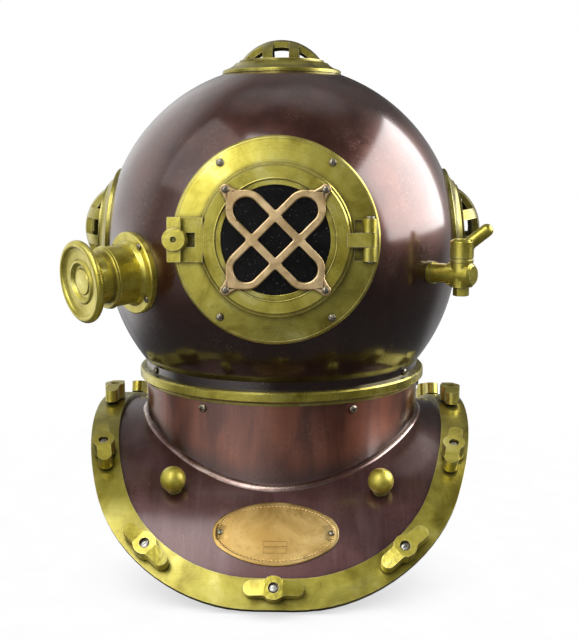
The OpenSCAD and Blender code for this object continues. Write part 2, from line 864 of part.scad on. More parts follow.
// Nut with a round hub and two square wings
module door_nut() {
    foot = door_face + gap;
    brass() front_axis() translate([-bolt_x, 0, foot]) difference() {
        union() {
            cylinder(r1 = 9.6, r2 = 8.6, h = 12);
            translate([-5.1, -17, 3.5]) cube([10.2, 34, 5.5]);
        }
        rod(shank_r + play, -1, bolt_h + bolt_tip - 6 - foot + 0.5);
        rod(2.3, -1, 20);
    }
}

// Guarded windows, drawn along local Z from the middle of the upper half sphere

module window_rim() {
    rotate_extrude()
        polygon([[win_glass_r, bonnet_r - 20], [win_r, bonnet_r - 20],
            [win_r, bonnet_r - 6.2], [win_r - 1, bonnet_r - 5.4],
            [win_r - 6, bonnet_r - 3.6], [win_r - 9.5, bonnet_r - 1.4],
            [win_r - 11.5, win_face], [win_glass_r, win_face]]);
}
module window_sleeve() {
    rotate_extrude()
        polygon([[win_glass_r - 3, 140], [win_hole_r, 140], [win_hole_r, bonnet_r - 1],
            [win_glass_r, bonnet_r - 1], [win_glass_r, bonnet_r - 8],
            [win_glass_r - 3, bonnet_r - 8]]);
}
module window_glass() {
    color([0.10, 0.12, 0.12, 0.8]) rod(win_glass_r, bonnet_r - 8, win_face - 1.5);
}
module cage_bars() {
    for (a = [0, 90], s = [-1, 1])
        rotate([0, 0, a])
            translate([s * cage_bar_x - cage_bar_w / 2, -far / 2, 0])
                cube([cage_bar_w, far, far]);
}
module window_guard() {
    tube(cage_foot_r + 2, cage_foot_r - 5, win_face, cage_base);
    intersection() {
        translate([0, 0, cage_mid])
            difference() {
                sphere(r = cage_r);
                sphere(r = cage_r - cage_bar_t);
            }
        cage_bars();
        rod(far / 2, win_face, far);
    }
}
module top_ring() {
    brass() {
        difference() {
            top_axis() window_rim();
            dome_solid();
        }
        top_axis() window_sleeve();
    }
}
module side_ring(side) {
    brass() {
        difference() {
            side_axis(side) window_rim();
            dome_solid();
        }
        side_axis(side) window_sleeve();
    }
}
module top_glass() { top_axis() window_glass(); }
module top_guard() { brass() top_axis() window_guard(); }
module left_ring() { side_ring(-1); }
module left_glass() { side_axis(-1) window_glass(); }
module left_guard() { brass() side_axis(-1) window_guard(); }
module right_ring() { side_ring(1); }
module right_glass() { side_axis(1) window_glass(); }
module right_guard() { brass() side_axis(1) window_guard(); }

// Exhaust valve, drawn along local Z from the bonnet's centre

module at_valve_screws() {
    for (a = [50, 140, 230, 320])
        rotate([0, 0, a]) translate([valve_screw_r, 0, flange_face]) children();
}
module valve_screw_bores() { valve_axis() at_valve_screws() rod(1.6, -16, 4); }
module valve_screws() {
    steel() valve_axis() at_valve_screws() {
        rod(1.6, -9, 0.8);
        pan_head(2.7, 0);
    }
}
module valve_body() {
    flange_r = valve_flange_d / 2;
    barrel_r = valve_barrel_d / 2;
    neck = valve_neck_d / 2;
    brass() difference() {
        valve_axis() difference() {
            union() {
                rotate_extrude()
                    polygon([[0, seat_h - 4], [valve_sleeve_r, seat_h - 4],
                        [valve_sleeve_r, bonnet_r - 12], [flange_r, bonnet_r - 12],
                        [flange_r, flange_face - 1], [flange_r - 1, flange_face],
                        [barrel_r + 2.6, flange_face], [barrel_r + 2.1, flange_face + 0.9],
                        [barrel_r + 1.1, flange_face + 1.6], [barrel_r, flange_face + 3.5],
                        [barrel_r, barrel_end], [neck, barrel_end], [neck, neck_end],
                        [0, neck_end]]);
                translate([0, 0, barrel_end]) rotate_extrude() {
                    square([barrel_r, 4]);
                    translate([barrel_r, 1]) circle(r = 1.1, $fn = 32);
                    translate([barrel_r - 0.6, 3]) circle(r = 1.1, $fn = 32);
                }
            }
            rod(port_r, cut_in, seat_h + 1);
            rod(chamber_r, seat_h, neck_end - 7);
            rod(8 + play, cut_in, neck_end + 1);
            for (s = [-1, 1])
                translate([s * chamber_r - 2.3, -2.2, seat_h + 10]) cube([4.6, 4.4, 21]);
            at_valve_screws() rod(1.6, -16, 4);
        }
        difference() {
            dome_solid();
            valve_axis() rod(valve_sleeve_r, cut_in, cut_out);
        }
    }
}
// Handwheel with a rolled rim, a dished face, a step and a flat boss
module valve_wheel() {
    r = wheel_d / 2;
    brass() valve_axis() difference() {
        union() {
            rotate_extrude() {
                polygon([[0, wheel_back], [r - 7, wheel_back], [r - 2, wheel_back + 1],
                    [r - 2, wheel_face - 2], [r - 6, wheel_face - 1.6],
                    [r - 9, wheel_face - 2.8], [r - 15, wheel_face - 3.2],
                    [r - 16.5, wheel_face - 1.8], [r - 18, wheel_face - 1.6],
                    [r - 19.5, wheel_face - 3], [r - 20.5, wheel_face - 4.4],
                    [r - 22.5, wheel_face - 4.6], [r - 23.5, wheel_face - 3.4],
                    [0, wheel_face - 3.2]]);
                intersection() {
                    translate([r - 3.4, wheel_face - 3.4]) circle(r = 3.4, $fn = 48);
                    translate([0, wheel_back]) square([r, wheel_t]);
                }
            }
            rod(8, neck_end - 7.5, wheel_back + 1);
            rod(11, neck_end - 7 - gap - 3.5, neck_end - 7 - gap);
            rod(spindle_r, follower_h - seat_travel - 3, neck_end - 8);
        }
        rod(stem_r + 0.2, cut_in, neck_end - 2);
    }
}
module spring_seat() {
    old_brass() valve_axis() difference() {
        union() {
            rod(chamber_r - gap, follower_h, follower_h + 4);
            for (s = [-1, 1])
                translate([s * chamber_r - 2, -2, follower_h]) cube([4, 4, 4]);
        }
        rod(spindle_r + play, cut_in, cut_out);
    }
}
module valve_disc() {
    old_brass() valve_axis() {
        rod(chamber_r - 1, seat_h + gap, seat_h + gap + disc_t);
        rod(stem_r, seat_h - 14, neck_end - 12);
        rod(9, seat_h - 15, seat_h - 11.5);
    }
}
// Spring of flat wire that stands on the disc, relaxed
module valve_spring() {
    turns = 3;
    steel() valve_axis() translate([0, 0, seat_h + gap + disc_t])
        linear_extrude(height = spring_len, twist = -360 * turns, slices = 36, $fn = 16)
            difference() {
                circle(r = 8);
                circle(r = 6.2);
                translate([-9, 0]) square([18, 9]);
                translate([0, -9]) square([9, 18]);
            }
}

// Spit cock, drawn along local Z from the neck's axis, with local Y up

module upward(z, y0, y1, r, sides) {
    translate([0, y0, z]) rotate([-90, 0, 0]) cylinder(r = r, h = y1 - y0, $fn = sides);
}
module cock_body() {
    brass() difference() {
        cock_axis() difference() {
            union() {
                rod(nipple_r, bonnet_r - 8, cock_x - 6);
                rod(nipple_r + 1.3, bonnet_r - 10, bonnet_r + 3);
                rod(cock_r, cock_x - cock_r - 1.5, cock_x + cock_r - 0.4);
                translate([0, 0, cock_x + cock_r - 0.4 - eps])
                    cylinder(r1 = cock_r, r2 = cock_r - 2, h = 2);
                upward(cock_x, -cock_r - 0.4, cock_r + 0.4, cock_r - 0.3, 96);
            }
            upward(cock_x, -30, 30, plug_r + play, 96);
            rod(3, cut_in, cock_x);
        }
        difference() {
            dome_solid();
            cock_axis() rod(nipple_r, cut_in, cut_out);
        }
    }
}
module cock_lever() {
    cap_y = cock_r + 0.4 + gap;
    nut_y = -cock_r - 0.4 - gap;
    brass() cock_axis() {
        difference() {
            union() {
                upward(cock_x, nut_y - 1, cap_y + 1, plug_r, 96);
                upward(cock_x, cap_y, cap_y + 2.2, cap_r, 96);
                upward(cock_x, cap_y + 2.2, cap_y + 3.6, cap_r - 0.7, 96);
                upward(cock_x, cap_y + 3.6, cap_y + cap_h - 2, cap_r, 96);
                translate([0, cap_y + cap_h - 2, cock_x])
                    rotate([-90, 0, 0]) cylinder(r1 = cap_r, r2 = cap_r - 2, h = 2);
                upward(cock_x, nut_y - 7, nut_y, 6.5, 6);
            }
            rotate([0, 90, 0]) translate([-cock_x, 0, -20]) cylinder(r = 3, h = 40);
        }
        translate([0, cap_y + 10, cock_x])
            rotate([-38, 42, 0]) {
                cylinder(r = lever_d / 2, h = lever_len - lever_d / 2);
                translate([0, 0, lever_len - lever_d / 2]) sphere(r = lever_d / 2);
            }
    }
}

// Hose elbows at the back

// Bent tube with a base flange and a nut, which ends in a spigot of radius end_r
module elbow_tube(root, r, inset) {
    rod(r, bonnet_r - inset, root);
    translate([0, -elbow_bend_r, root])
        rotate([90, 0, 90])
            rotate_extrude(angle = elbow_bend)
                translate([elbow_bend_r, 0]) circle(r = r);
}
module elbow(side, end_r, end_len, hole_r) {
    root = bonnet_r + 8;
    nut_end = 14;
    brass() difference() {
        union() {
            difference() {
                elbow_axis(side) rod(elbow_r + 7, bonnet_r - 10, bonnet_r + 1.5);
                dome_solid();
            }
            elbow_axis(side) {
                elbow_tube(root, elbow_r, 6);
                elbow_end(root) {
                    rod(elbow_r + 1.5, -1, 5);
                    translate([0, 0, 5]) cylinder(r = elbow_r + 4, h = nut_end - 5, $fn = 6);
                    rod(end_r, nut_end - 1, nut_end + end_len);
                }
            }
        }
        elbow_axis(side) {
            elbow_tube(root, elbow_r - 4, 12);
            elbow_end(root) rod(hole_r, -1, nut_end + end_len + 1);
        }
    }
}
module elbow_end(root) {
    translate([0, -elbow_bend_r, root])
        rotate([elbow_bend, 0, 0]) translate([0, elbow_bend_r, 0]) children();
}
module air_elbow() { elbow(-1, elbow_r - 1, 12, elbow_r - 3.5); }
module phone_elbow() { elbow(1, elbow_r + 1.5, 6, elbow_r - 5); }

corselet();
strap_front();
strap_back();
strap_studs();
neck_ring();
neck_leather();
neck_screws();
lanyard_stud_left();
lanyard_stud_right();
name_plate();
plate_screws();
strap_nut_01();
strap_nut_02();
strap_nut_03();
strap_nut_04();
strap_nut_05();
strap_nut_06();
strap_nut_07();
strap_nut_08();
strap_nut_09();
strap_nut_10();
strap_nut_11();
strap_nut_12();
bonnet();
bonnet_ring();
bonnet_screws();
front_frame();
frame_screws();
frame_seal();
hinge_pin();
latch_pin();
top_ring();
top_glass();
top_guard();
left_ring();
left_glass();
left_guard();
right_ring();
right_glass();
right_guard();
valve_body();
valve_screws();
valve_wheel();
spring_seat();
valve_disc();
valve_spring();
cock_body();
cock_lever();
air_elbow();
phone_elbow();
door_ring();
door_glass();
glass_retainer();
grille();
grille_screws();
swing_bolt();
door_nut();
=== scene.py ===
"""Looks of the diving helmet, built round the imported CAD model."""
import math
import random

import bmesh
import bpy
from mathutils import Matrix, Vector

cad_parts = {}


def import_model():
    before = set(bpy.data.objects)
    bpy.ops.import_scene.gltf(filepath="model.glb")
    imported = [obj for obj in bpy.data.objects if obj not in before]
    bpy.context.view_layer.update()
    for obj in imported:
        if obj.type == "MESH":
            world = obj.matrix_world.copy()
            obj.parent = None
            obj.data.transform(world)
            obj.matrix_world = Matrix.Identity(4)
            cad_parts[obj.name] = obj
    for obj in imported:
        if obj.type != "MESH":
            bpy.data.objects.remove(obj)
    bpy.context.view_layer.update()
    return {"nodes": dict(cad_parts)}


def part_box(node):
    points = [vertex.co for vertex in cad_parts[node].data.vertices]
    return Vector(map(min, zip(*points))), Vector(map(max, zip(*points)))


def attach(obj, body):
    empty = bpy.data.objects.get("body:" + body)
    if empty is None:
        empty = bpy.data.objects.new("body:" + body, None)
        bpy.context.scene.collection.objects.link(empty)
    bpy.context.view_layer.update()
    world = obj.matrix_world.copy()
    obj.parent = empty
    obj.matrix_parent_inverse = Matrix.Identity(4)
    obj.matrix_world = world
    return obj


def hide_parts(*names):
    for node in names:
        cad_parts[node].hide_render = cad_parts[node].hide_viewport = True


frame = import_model()

MM = 0.001

# Places of the CAD model, in millimetres and degrees
CENTRE_H = 261.0
UPPER_H = 264.0
BONNET_R = 157.5
NECK_R = 124.0
ARCH_Z = -384.8
ARCH_R = 237.0
COLLAR_ARC_R = 300.0
COLLAR_WAIST = -135.9
STRAP_R = 241.0
WIN_TILT = 5.5
FRAME_FACE = 148.0
DOOR_FACE = 158.3
GRILLE_FACE = 161.8
VALVE = (-50.0, -5.0, CENTRE_H)
FLANGE_FACE = 159.5
COCK = (53.0, 0.0, 248.0)
CAGE_BASE = BONNET_R + 0.8 + 2.4

# Places of the screws
SCREW_SEAT = NECK_R + 0.4
NECK_SCREW_Z = -125.4
BONNET_SCREW_Z = -103.7
FRAME_SCREW_R = 73.5
EAR_R = 53.8
VALVE_SCREW_R = 30.3
CAGE_SCREW_R = 33.9

# Arch angles of the twelve studs, from the front one round by the viewer's right
SIDE_STUDS = (47.5, 25.0, 0.0, -25.0, -47.5)
STUD_ANGLES = (55.0, *SIDE_STUDS, -55.0, *reversed(SIDE_STUDS))
STUD_END_LIFT = 12.0
STUD_END_TURN = 37.0

# Name plate: an oval of four arcs, bent to the arch
PLATE_HALF_A = 50.0
PLATE_HALF_B = 27.5
PLATE_END_R = 17.0
PLATE_ANGLE = 43.5
PLATE_FACE = ARCH_R + 1.2
PLATE_UNDER = 1.15
PLATE_SCREW_X = 44.0
DOTS = 92
DOTS_INSET = 4.2

# Line of solder at the collar's foot, and the extra lean of the collar's shading, as a slope
CREASE_R = 5.0
CREASE_OUT = 0.5
CREASE_LIFT = -4.0
CREASE_FAR = 200.0
COLLAR_FLARE = 0.24

# Turned beads on the door and the front frame
DOOR_BEAD_R = 46.9
FRAME_BEAD_R = 78.4

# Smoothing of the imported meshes: welding distance in metres, angles in degrees
WELD = 2e-6
SMOOTH_ANGLE = 28
BEVEL_ANGLE = 38


def turn(degrees, axis):
    return Matrix.Rotation(math.radians(degrees), 4, axis)


def shift(x, y, z):
    return Matrix.Translation(Vector((x, y, z)) * MM)


def toward(azimuth, up, height):
    """Frame at a height on the neck's axis, with its Z pointing outward."""
    return shift(0, 0, height) @ turn(azimuth, "Z") @ turn(90 - up, "X")


def on_arch(x, angle, radius):
    """Frame on the breastplate's arch, with its Z square to the plate."""
    return shift(x, 0, CENTRE_H + ARCH_Z) @ turn(angle, "X") @ shift(0, 0, radius)


FRONT = toward(0, WIN_TILT, UPPER_H)
TOP = shift(0, 0, UPPER_H)
LEFT = toward(-90, WIN_TILT, UPPER_H)
RIGHT = toward(90, WIN_TILT, UPPER_H)
VALVE_AT = toward(*VALVE)
COCK_AT = toward(*COCK)


# Node helpers


class Nodes:
    """Builds the node tree of one material, or of the world."""

    def __init__(self, name, owner=None):
        self.owner = owner or bpy.data.materials.new(name)
        self.owner.use_nodes = True
        self.tree = self.owner.node_tree
        self.tree.nodes.clear()
        self.coords = self.add("ShaderNodeTexCoord").outputs["Object"]

    def add(self, kind, **settings):
        node = self.tree.nodes.new(kind)
        for key, value in settings.items():
            setattr(node, key, value)
        return node

    def put(self, socket, value):
        if isinstance(value, bpy.types.NodeSocket):
            self.tree.links.new(value, socket)
        elif value is not None:
            socket.default_value = value

    def math(self, op, a, b=None):
        node = self.add("ShaderNodeMath", operation=op)
        for socket, value in zip(node.inputs, (a, b)):
            self.put(socket, value)
        return node.outputs[0]

    def times(self, a, b):
        return self.math("MULTIPLY", a, b)

    def vector(self, op, a, b=None):
        node = self.add("ShaderNodeVectorMath", operation=op)
        self.put(node.inputs[0], a)
        if b is not None:
            self.put(node.inputs[1], b)
        return node.outputs["Value" if op in ("LENGTH", "DOT_PRODUCT") else "Vector"]

    def split(self, vector):
        node = self.add("ShaderNodeSeparateXYZ")
        self.put(node.inputs[0], vector)
        return node.outputs

    def join(self, x, y, z):
        node = self.add("ShaderNodeCombineXYZ")
        for socket, value in zip(node.inputs, (x, y, z)):
            self.put(socket, value)
        return node.outputs[0]

    def local(self, matrix):
        """Coordinates in a frame of the object."""
        node = self.add("ShaderNodeMapping", vector_type="TEXTURE")
        self.put(node.inputs["Vector"], self.coords)
        node.inputs["Location"].default_value = matrix.to_translation()
        node.inputs["Rotation"].default_value = matrix.to_euler()
        return node.outputs[0]

    def noise(self, scale, detail=3.0, rough=0.5, vector=None, warp=0.0):
        node = self.add("ShaderNodeTexNoise")
        self.put(node.inputs["Vector"], vector or self.coords)
        self.put(node.inputs["Scale"], scale)
        self.put(node.inputs["Detail"], detail)
        self.put(node.inputs["Roughness"], rough)
        self.put(node.inputs["Distortion"], warp)
        return node.outputs[0]

    def line_noise(self, value, scale, detail=3.0, rough=0.6):
        """Noise along one number, for lines left by a lathe."""
        node = self.add("ShaderNodeTexNoise", noise_dimensions="1D")
        self.put(node.inputs["W"], value)
        self.put(node.inputs["Scale"], scale)
        self.put(node.inputs["Detail"], detail)
        self.put(node.inputs["Roughness"], rough)
        return node.outputs[0]

    def ramp(self, value, low, high, to_low=0.0, to_high=1.0):
        """Smooth step from one value to another between low and high."""
        node = self.add("ShaderNodeMapRange", interpolation_type="SMOOTHSTEP")
        for socket, item in zip(node.inputs, (value, low, high, to_low, to_high)):
            self.put(socket, item)
        return node.outputs[0]

    def mix(self, factor, a, b, blend="MIX"):
        """Mix of two colours, which are sockets 6 and 7 of the node."""
        node = self.add("ShaderNodeMix", data_type="RGBA", blend_type=blend)
        self.put(node.inputs[0], factor)
        self.put(node.inputs[6], rgba(a))
        self.put(node.inputs[7], rgba(b))
        return node.outputs[2]

    def edges(self, radius):
        """1 on sharp outer edges and 0 on flats."""
        bevel = self.add("ShaderNodeBevel", samples=6)
        bevel.inputs["Radius"].default_value = radius * MM
        normal = self.add("ShaderNodeNewGeometry").outputs["Normal"]
        flat = self.vector("DOT_PRODUCT", bevel.outputs[0], normal)
        return self.ramp(flat, 0.985, 0.86)

    def hollow_shade(self, reach):
        """1 in corners and 0 on open faces, from ambient occlusion, for painted shade in hollows."""
        node = self.add("ShaderNodeAmbientOcclusion", samples=6)
        node.inputs["Distance"].default_value = reach * MM
        return self.ramp(node.outputs["AO"], 0.9, 0.35)

    def bump(self, height, distance, below=None):
        node = self.add("ShaderNodeBump")
        self.put(node.inputs["Height"], height)
        node.inputs["Distance"].default_value = distance * MM
        self.put(node.inputs["Normal"], below)
        return node.outputs[0]

    def finish(self, **sockets):
        shader = self.add("ShaderNodeBsdfPrincipled")
        for key, value in sockets.items():
            self.put(shader.inputs[key.replace("_", " ")], rgba(value))
        out = self.add("ShaderNodeOutputMaterial")
        self.put(out.inputs[0], shader.outputs[0])
        return self.owner


def rgba(value):
    """A colour of three numbers with its alpha, and anything else as it is."""
    return (*value, 1.0) if isinstance(value, tuple) and len(value) == 3 else value


# Materials


def scratches(n, scale, amount):
    """Sparse fine lines in several directions."""
    total = None
    for angle in (0.3, 1.4, 2.5):
        node = n.add("ShaderNodeMapping")
        n.put(node.inputs["Vector"], n.coords)
        node.inputs["Rotation"].default_value = (angle, angle * 0.7, angle * 1.9)
        node.inputs["Scale"].default_value = (1.0, 0.045, 1.0)
        lines = n.noise(scale, 1.0, 0.4, node.outputs[0])
        thin = n.ramp(n.math("ABSOLUTE", n.math("SUBTRACT", lines, 0.5)), 0.006, 0.0)
        total = thin if total is None else n.math("MAXIMUM", total, thin)
    patches = n.ramp(n.noise(scale * 0.12, 2.0), 0.5, 0.68)
    return n.times(n.times(total, patches), amount)


def scuffs(n, middle, radius, seed):
    """Short bright scratches round one place."""
    here = n.vector("SUBTRACT", n.coords, middle)
    near = n.ramp(n.vector("LENGTH", here), radius, radius * 0.35)
    node = n.add("ShaderNodeMapping")
    n.put(node.inputs["Vector"], n.coords)
    node.inputs["Rotation"].default_value = (seed, seed * 0.6, seed * 1.7)
    node.inputs["Scale"].default_value = (1.0, 0.16, 1.0)
    lines = n.noise(420.0, 2.0, 0.6, node.outputs[0])
    thin = n.ramp(n.math("ABSOLUTE", n.math("SUBTRACT", lines, 0.5)), 0.014, 0.002)
    patches = n.ramp(n.noise(160.0, 2.0, 0.6), 0.48, 0.60)
    return n.times(n.times(thin, near), patches)


# Scuffed places of the bonnet: middle and radius in metres, and a seed
SCUFFS = (
    ((0.075, -0.115, 0.345), 0.040, 0.5),
    ((0.118, -0.100, 0.262), 0.026, 1.9),
    ((-0.060, -0.120, 0.365), 0.030, 1.2))


def bonnet_copper():
    """Bonnet: dark lacquered copper, brushed downward, with painted shade at its foot and in hollows,
    and scuffed.
    """
    n = Nodes("lacquered_copper")
    cloud = n.noise(8.0, 5.0, 0.6, warp=0.5)
    speck = n.noise(280.0, 3.0, 0.6)
    x, y, z = n.split(n.coords)
    low = n.ramp(z, 0.30, 0.17)
    down = n.join(n.times(x, 60.0), n.times(y, 60.0), n.times(z, 9.0))
    brush = n.noise(1.0, 4.0, 0.6, down, 0.4)
    color = n.mix(n.ramp(cloud, 0.35, 0.68), (0.042, 0.011, 0.007), (0.112, 0.033, 0.019))
    color = n.mix(n.ramp(brush, 0.42, 0.72, 0.0, 0.35), color, (0.140, 0.046, 0.030))
    color = n.mix(n.ramp(speck, 0.52, 0.72, 0.0, 0.25), color, (0.13, 0.062, 0.046))
    # Painted shade: the colour darkens toward the bonnet's foot.
    color = n.mix(n.times(low, 0.85), color, (0.016, 0.005, 0.003))
    wear = scratches(n, 210.0, 0.35)
    for middle, radius, seed in SCUFFS:
        wear = n.math("MAXIMUM", wear, n.times(scuffs(n, middle, radius, seed), 0.55))
    color = n.mix(wear, color, (0.42, 0.31, 0.26))
    # Painted shade in the bonnet's hollows.
    color = n.mix(n.times(n.hollow_shade(9.0), 0.8), color, (0.012, 0.008, 0.006))
    rough = n.ramp(n.noise(38.0, 4.0, 0.65), 0.3, 0.7, 0.27, 0.40)
    rough = n.math("ADD", rough, n.times(wear, 0.25))
    bump = n.bump(n.noise(120.0, 3.0, 0.55), 0.05)
    bump = n.bump(n.times(wear, -1.0), 0.04, bump)
    soft = n.bump(n.noise(24.0, 2.0), 0.10)
    soft = n.bump(brush, 0.02, soft)
    return n.finish(
        Base_Color=color, Metallic=0.74, Roughness=rough, Normal=bump,
        Coat_Weight=1.0, Coat_Roughness=0.14, Coat_IOR=1.70, Coat_Normal=soft)


def plate_copper():
    """Breastplate: a clouded plum plate and a redder collar, with fine lines down both."""
    n = Nodes("patinated_copper")
    x, y, z = n.split(n.coords)
    lifted = n.math("SUBTRACT", z, (CENTRE_H + ARCH_Z) * MM)
    arch = n.math("SUBTRACT", n.vector("LENGTH", n.join(0.0, y, lifted)), ARCH_R * MM)
    collar = n.ramp(arch, 0.0003, 0.0022)
    angle = n.math("ARCTAN2", x, n.times(y, -1.0))
    slope = n.math("ARCTAN2", y, lifted)
    bands = n.noise(1.0, 3.0, 0.55, n.join(n.times(x, 34.0), n.times(slope, 1.8), 0.0), 0.3)
    lines = n.noise(1.0, 4.0, 0.65, n.join(n.times(x, 420.0), n.times(slope, 9.0), 0.0), 0.3)
    cloud = n.noise(20.0, 5.0, 0.62, warp=0.4)
    grain = n.noise(430.0, 3.0, 0.6)
    pits = n.ramp(n.noise(700.0, 2.0, 0.5), 0.70, 0.76)
    plate = n.mix(n.ramp(cloud, 0.32, 0.70), (0.076, 0.028, 0.026), (0.132, 0.056, 0.054))
    plate = n.mix(n.ramp(bands, 0.45, 0.72, 0.0, 0.55), plate, (0.185, 0.098, 0.104))
    plate = n.mix(n.ramp(lines, 0.48, 0.78, 0.0, 0.30), plate, (0.200, 0.106, 0.100))
    plate = n.mix(n.ramp(grain, 0.5, 0.8, 0.0, 0.4), plate, (0.055, 0.026, 0.024))
    plate = n.mix(n.times(pits, 0.6), plate, (0.015, 0.008, 0.007))
    around = n.noise(1.0, 3.0, 0.55, n.join(n.times(angle, 4.2), 3.0, n.times(z, 9.0)), 0.4)
    drawn = n.noise(1.0, 4.0, 0.65, n.join(n.times(angle, 60.0), 1.0, n.times(z, 14.0)), 0.3)
    spun = n.noise(1.0, 4.0, 0.6, n.join(n.times(angle, 2.0), 0.0, n.times(z, 260.0)), 0.2)
    neck = n.mix(n.ramp(around, 0.34, 0.64), (0.085, 0.024, 0.013), (0.215, 0.066, 0.034))
    neck = n.mix(n.ramp(drawn, 0.50, 0.76, 0.0, 0.20), neck, (0.260, 0.105, 0.066))
    neck = n.mix(n.ramp(spun, 0.50, 0.80, 0.0, 0.22), neck, (0.070, 0.022, 0.015))
    # Painted shade near the collar's foot, in its corner with the plate.
    neck = n.mix(n.ramp(arch, 0.018, 0.001, 0.0, 0.92), neck, (0.050, 0.020, 0.014))
    color = n.mix(collar, plate, neck)
    # Painted shade in the hollows of the breastplate.
    color = n.mix(n.times(n.hollow_shade(6.0), 0.7), color, (0.018, 0.010, 0.008))
    wear = scratches(n, 230.0, 0.4)
    color = n.mix(wear, color, (0.40, 0.27, 0.23))
    rough = n.ramp(cloud, 0.3, 0.7, 0.30, 0.44)
    rough = n.math("SUBTRACT", rough, n.times(collar, 0.06))
    bump = n.bump(n.noise(150.0, 4.0, 0.6), 0.06)
    bump = n.bump(n.times(spun, collar), 0.05, bump)
    flare = n.times(n.math("MAXIMUM", arch, 0.0), -COLLAR_FLARE / MM)
    bump = n.bump(flare, 1.0, bump)
    soft = n.bump(flare, 1.0, n.bump(n.noise(26.0, 3.0), 0.14))
    return n.finish(
        Base_Color=color, Metallic=0.72, Roughness=rough, Normal=bump,
        Coat_Weight=0.70, Coat_Roughness=0.18, Coat_IOR=1.60, Coat_Normal=soft)


def crease_copper():
    """Rounded solder line at the collar's foot, stained and lighter than the plate as a painted
    highlight, with painted shade at its right front.
    """
    n = Nodes("crease_copper_painted_highlight")
    stain = n.noise(26.0, 5.0, 0.65)
    # Stained copper, lighter than the plate as a painted highlight.
    color = n.mix(n.ramp(stain, 0.35, 0.7), (0.17, 0.080, 0.064), (0.66, 0.500, 0.430))
    color = n.mix(n.ramp(n.noise(300.0, 3.0), 0.5, 0.75, 0.0, 0.4), color, (0.08, 0.036, 0.030))
    x = n.split(n.coords)[0]
    # Painted shade on the bead's right front, where its highlight fades.
    right_front_shade = n.times(n.ramp(x, -0.005, 0.030), n.ramp(x, 0.105, 0.075))
    color = n.mix(n.times(right_front_shade, 0.85), color, (0.110, 0.046, 0.038))
    bump = n.bump(n.noise(150.0, 3.0), 0.10)
    rough = n.ramp(stain, 0.3, 0.7, 0.34, 0.22)
    return n.finish(Base_Color=color, Metallic=0.85, Roughness=rough, Normal=bump,
                    Coat_Weight=0.9, Coat_Roughness=0.14, Coat_IOR=1.65)


BRASS_DARK = (0.265, 0.212, 0.010)
BRASS_MID = (0.505, 0.438, 0.066)
BRASS_PALE = (0.720, 0.668, 0.240)
# Colour of dirt and painted shade in hollows
BRASS_DIRT_AND_SHADE = (0.045, 0.032, 0.010)
BRASS_BRIGHT = (0.84, 0.74, 0.38)


def brass(name, axis=None, tone=1.0, cast=0.0, rough=(0.24, 0.40), edge=0.8, lines=0.05,
          crown=0.0, spotted=0.45):
    """Brass with stained flats, dirt and painted shade in its corners and worn edges, turned round an
    axis if given.

    A crown is the fall of a turned face from its middle to its rim, as a slope.
    """
    n = Nodes(name)
    stain = n.noise(26.0, 6.0, 0.66, warp=0.5)
    spots = n.noise(130.0, 4.0, 0.6)
    dark = tuple(c * tone for c in BRASS_DARK)
    middle = tuple(c * tone for c in BRASS_MID)
    pale = tuple(c * tone for c in BRASS_PALE)
    color = n.mix(n.ramp(stain, 0.30, 0.56), dark, middle)
    color = n.mix(n.ramp(stain, 0.52, 0.76, 0.0, 0.9), color, pale)
    color = n.mix(n.ramp(spots, 0.56, 0.76, 0.0, spotted), color, dark)
    bump = n.bump(n.noise(340.0, 3.0, 0.6), 0.03 + 0.22 * cast)
    if cast:
        bump = n.bump(n.noise(70.0, 4.0, 0.6), 0.5 * cast, bump)
    if axis is not None:
        x, y, z = n.split(n.local(axis))
        radius = n.vector("LENGTH", n.join(x, y, 0.0))
        turned = n.line_noise(n.math("ADD", radius, n.times(z, 1.7)), 1300.0)
        color = n.mix(n.ramp(turned, 0.48, 0.72, 0.0, 0.38), color, dark)
        bump = n.bump(turned, lines, bump)
        if crown:
            bump = n.bump(n.times(radius, -crown / MM), 1.0, bump)
    else:
        brushed = n.add("ShaderNodeMapping")
        n.put(brushed.inputs["Vector"], n.coords)
        brushed.inputs["Scale"].default_value = (40.0, 700.0, 700.0)
        streaks = n.noise(1.0, 3.0, 0.6, brushed.outputs[0])
        color = n.mix(n.ramp(streaks, 0.5, 0.75, 0.0, 0.22), color, dark)
        bump = n.bump(streaks, lines * 0.6, bump)
    # Dirt and painted shade in the hollows, from ambient occlusion varied by spots.
    dirt_and_shade = n.times(n.hollow_shade(5.0), n.ramp(spots, 0.2, 0.6, 0.6, 1.0))
    color = n.mix(dirt_and_shade, color, BRASS_DIRT_AND_SHADE)
    worn = n.times(n.edges(0.9), n.ramp(stain, 0.25, 0.6, 0.45, 1.0))
    color = n.mix(n.times(worn, edge), color, BRASS_BRIGHT)
    gloss = n.ramp(n.noise(60.0, 4.0, 0.65), 0.3, 0.7, *rough)
    gloss = n.math("ADD", gloss, n.times(dirt_and_shade, 0.25))
    return n.finish(Base_Color=color, Metallic=0.84, Roughness=gloss, Normal=bump,
                    Coat_Weight=0.45, Coat_Roughness=0.24, Coat_IOR=1.55)


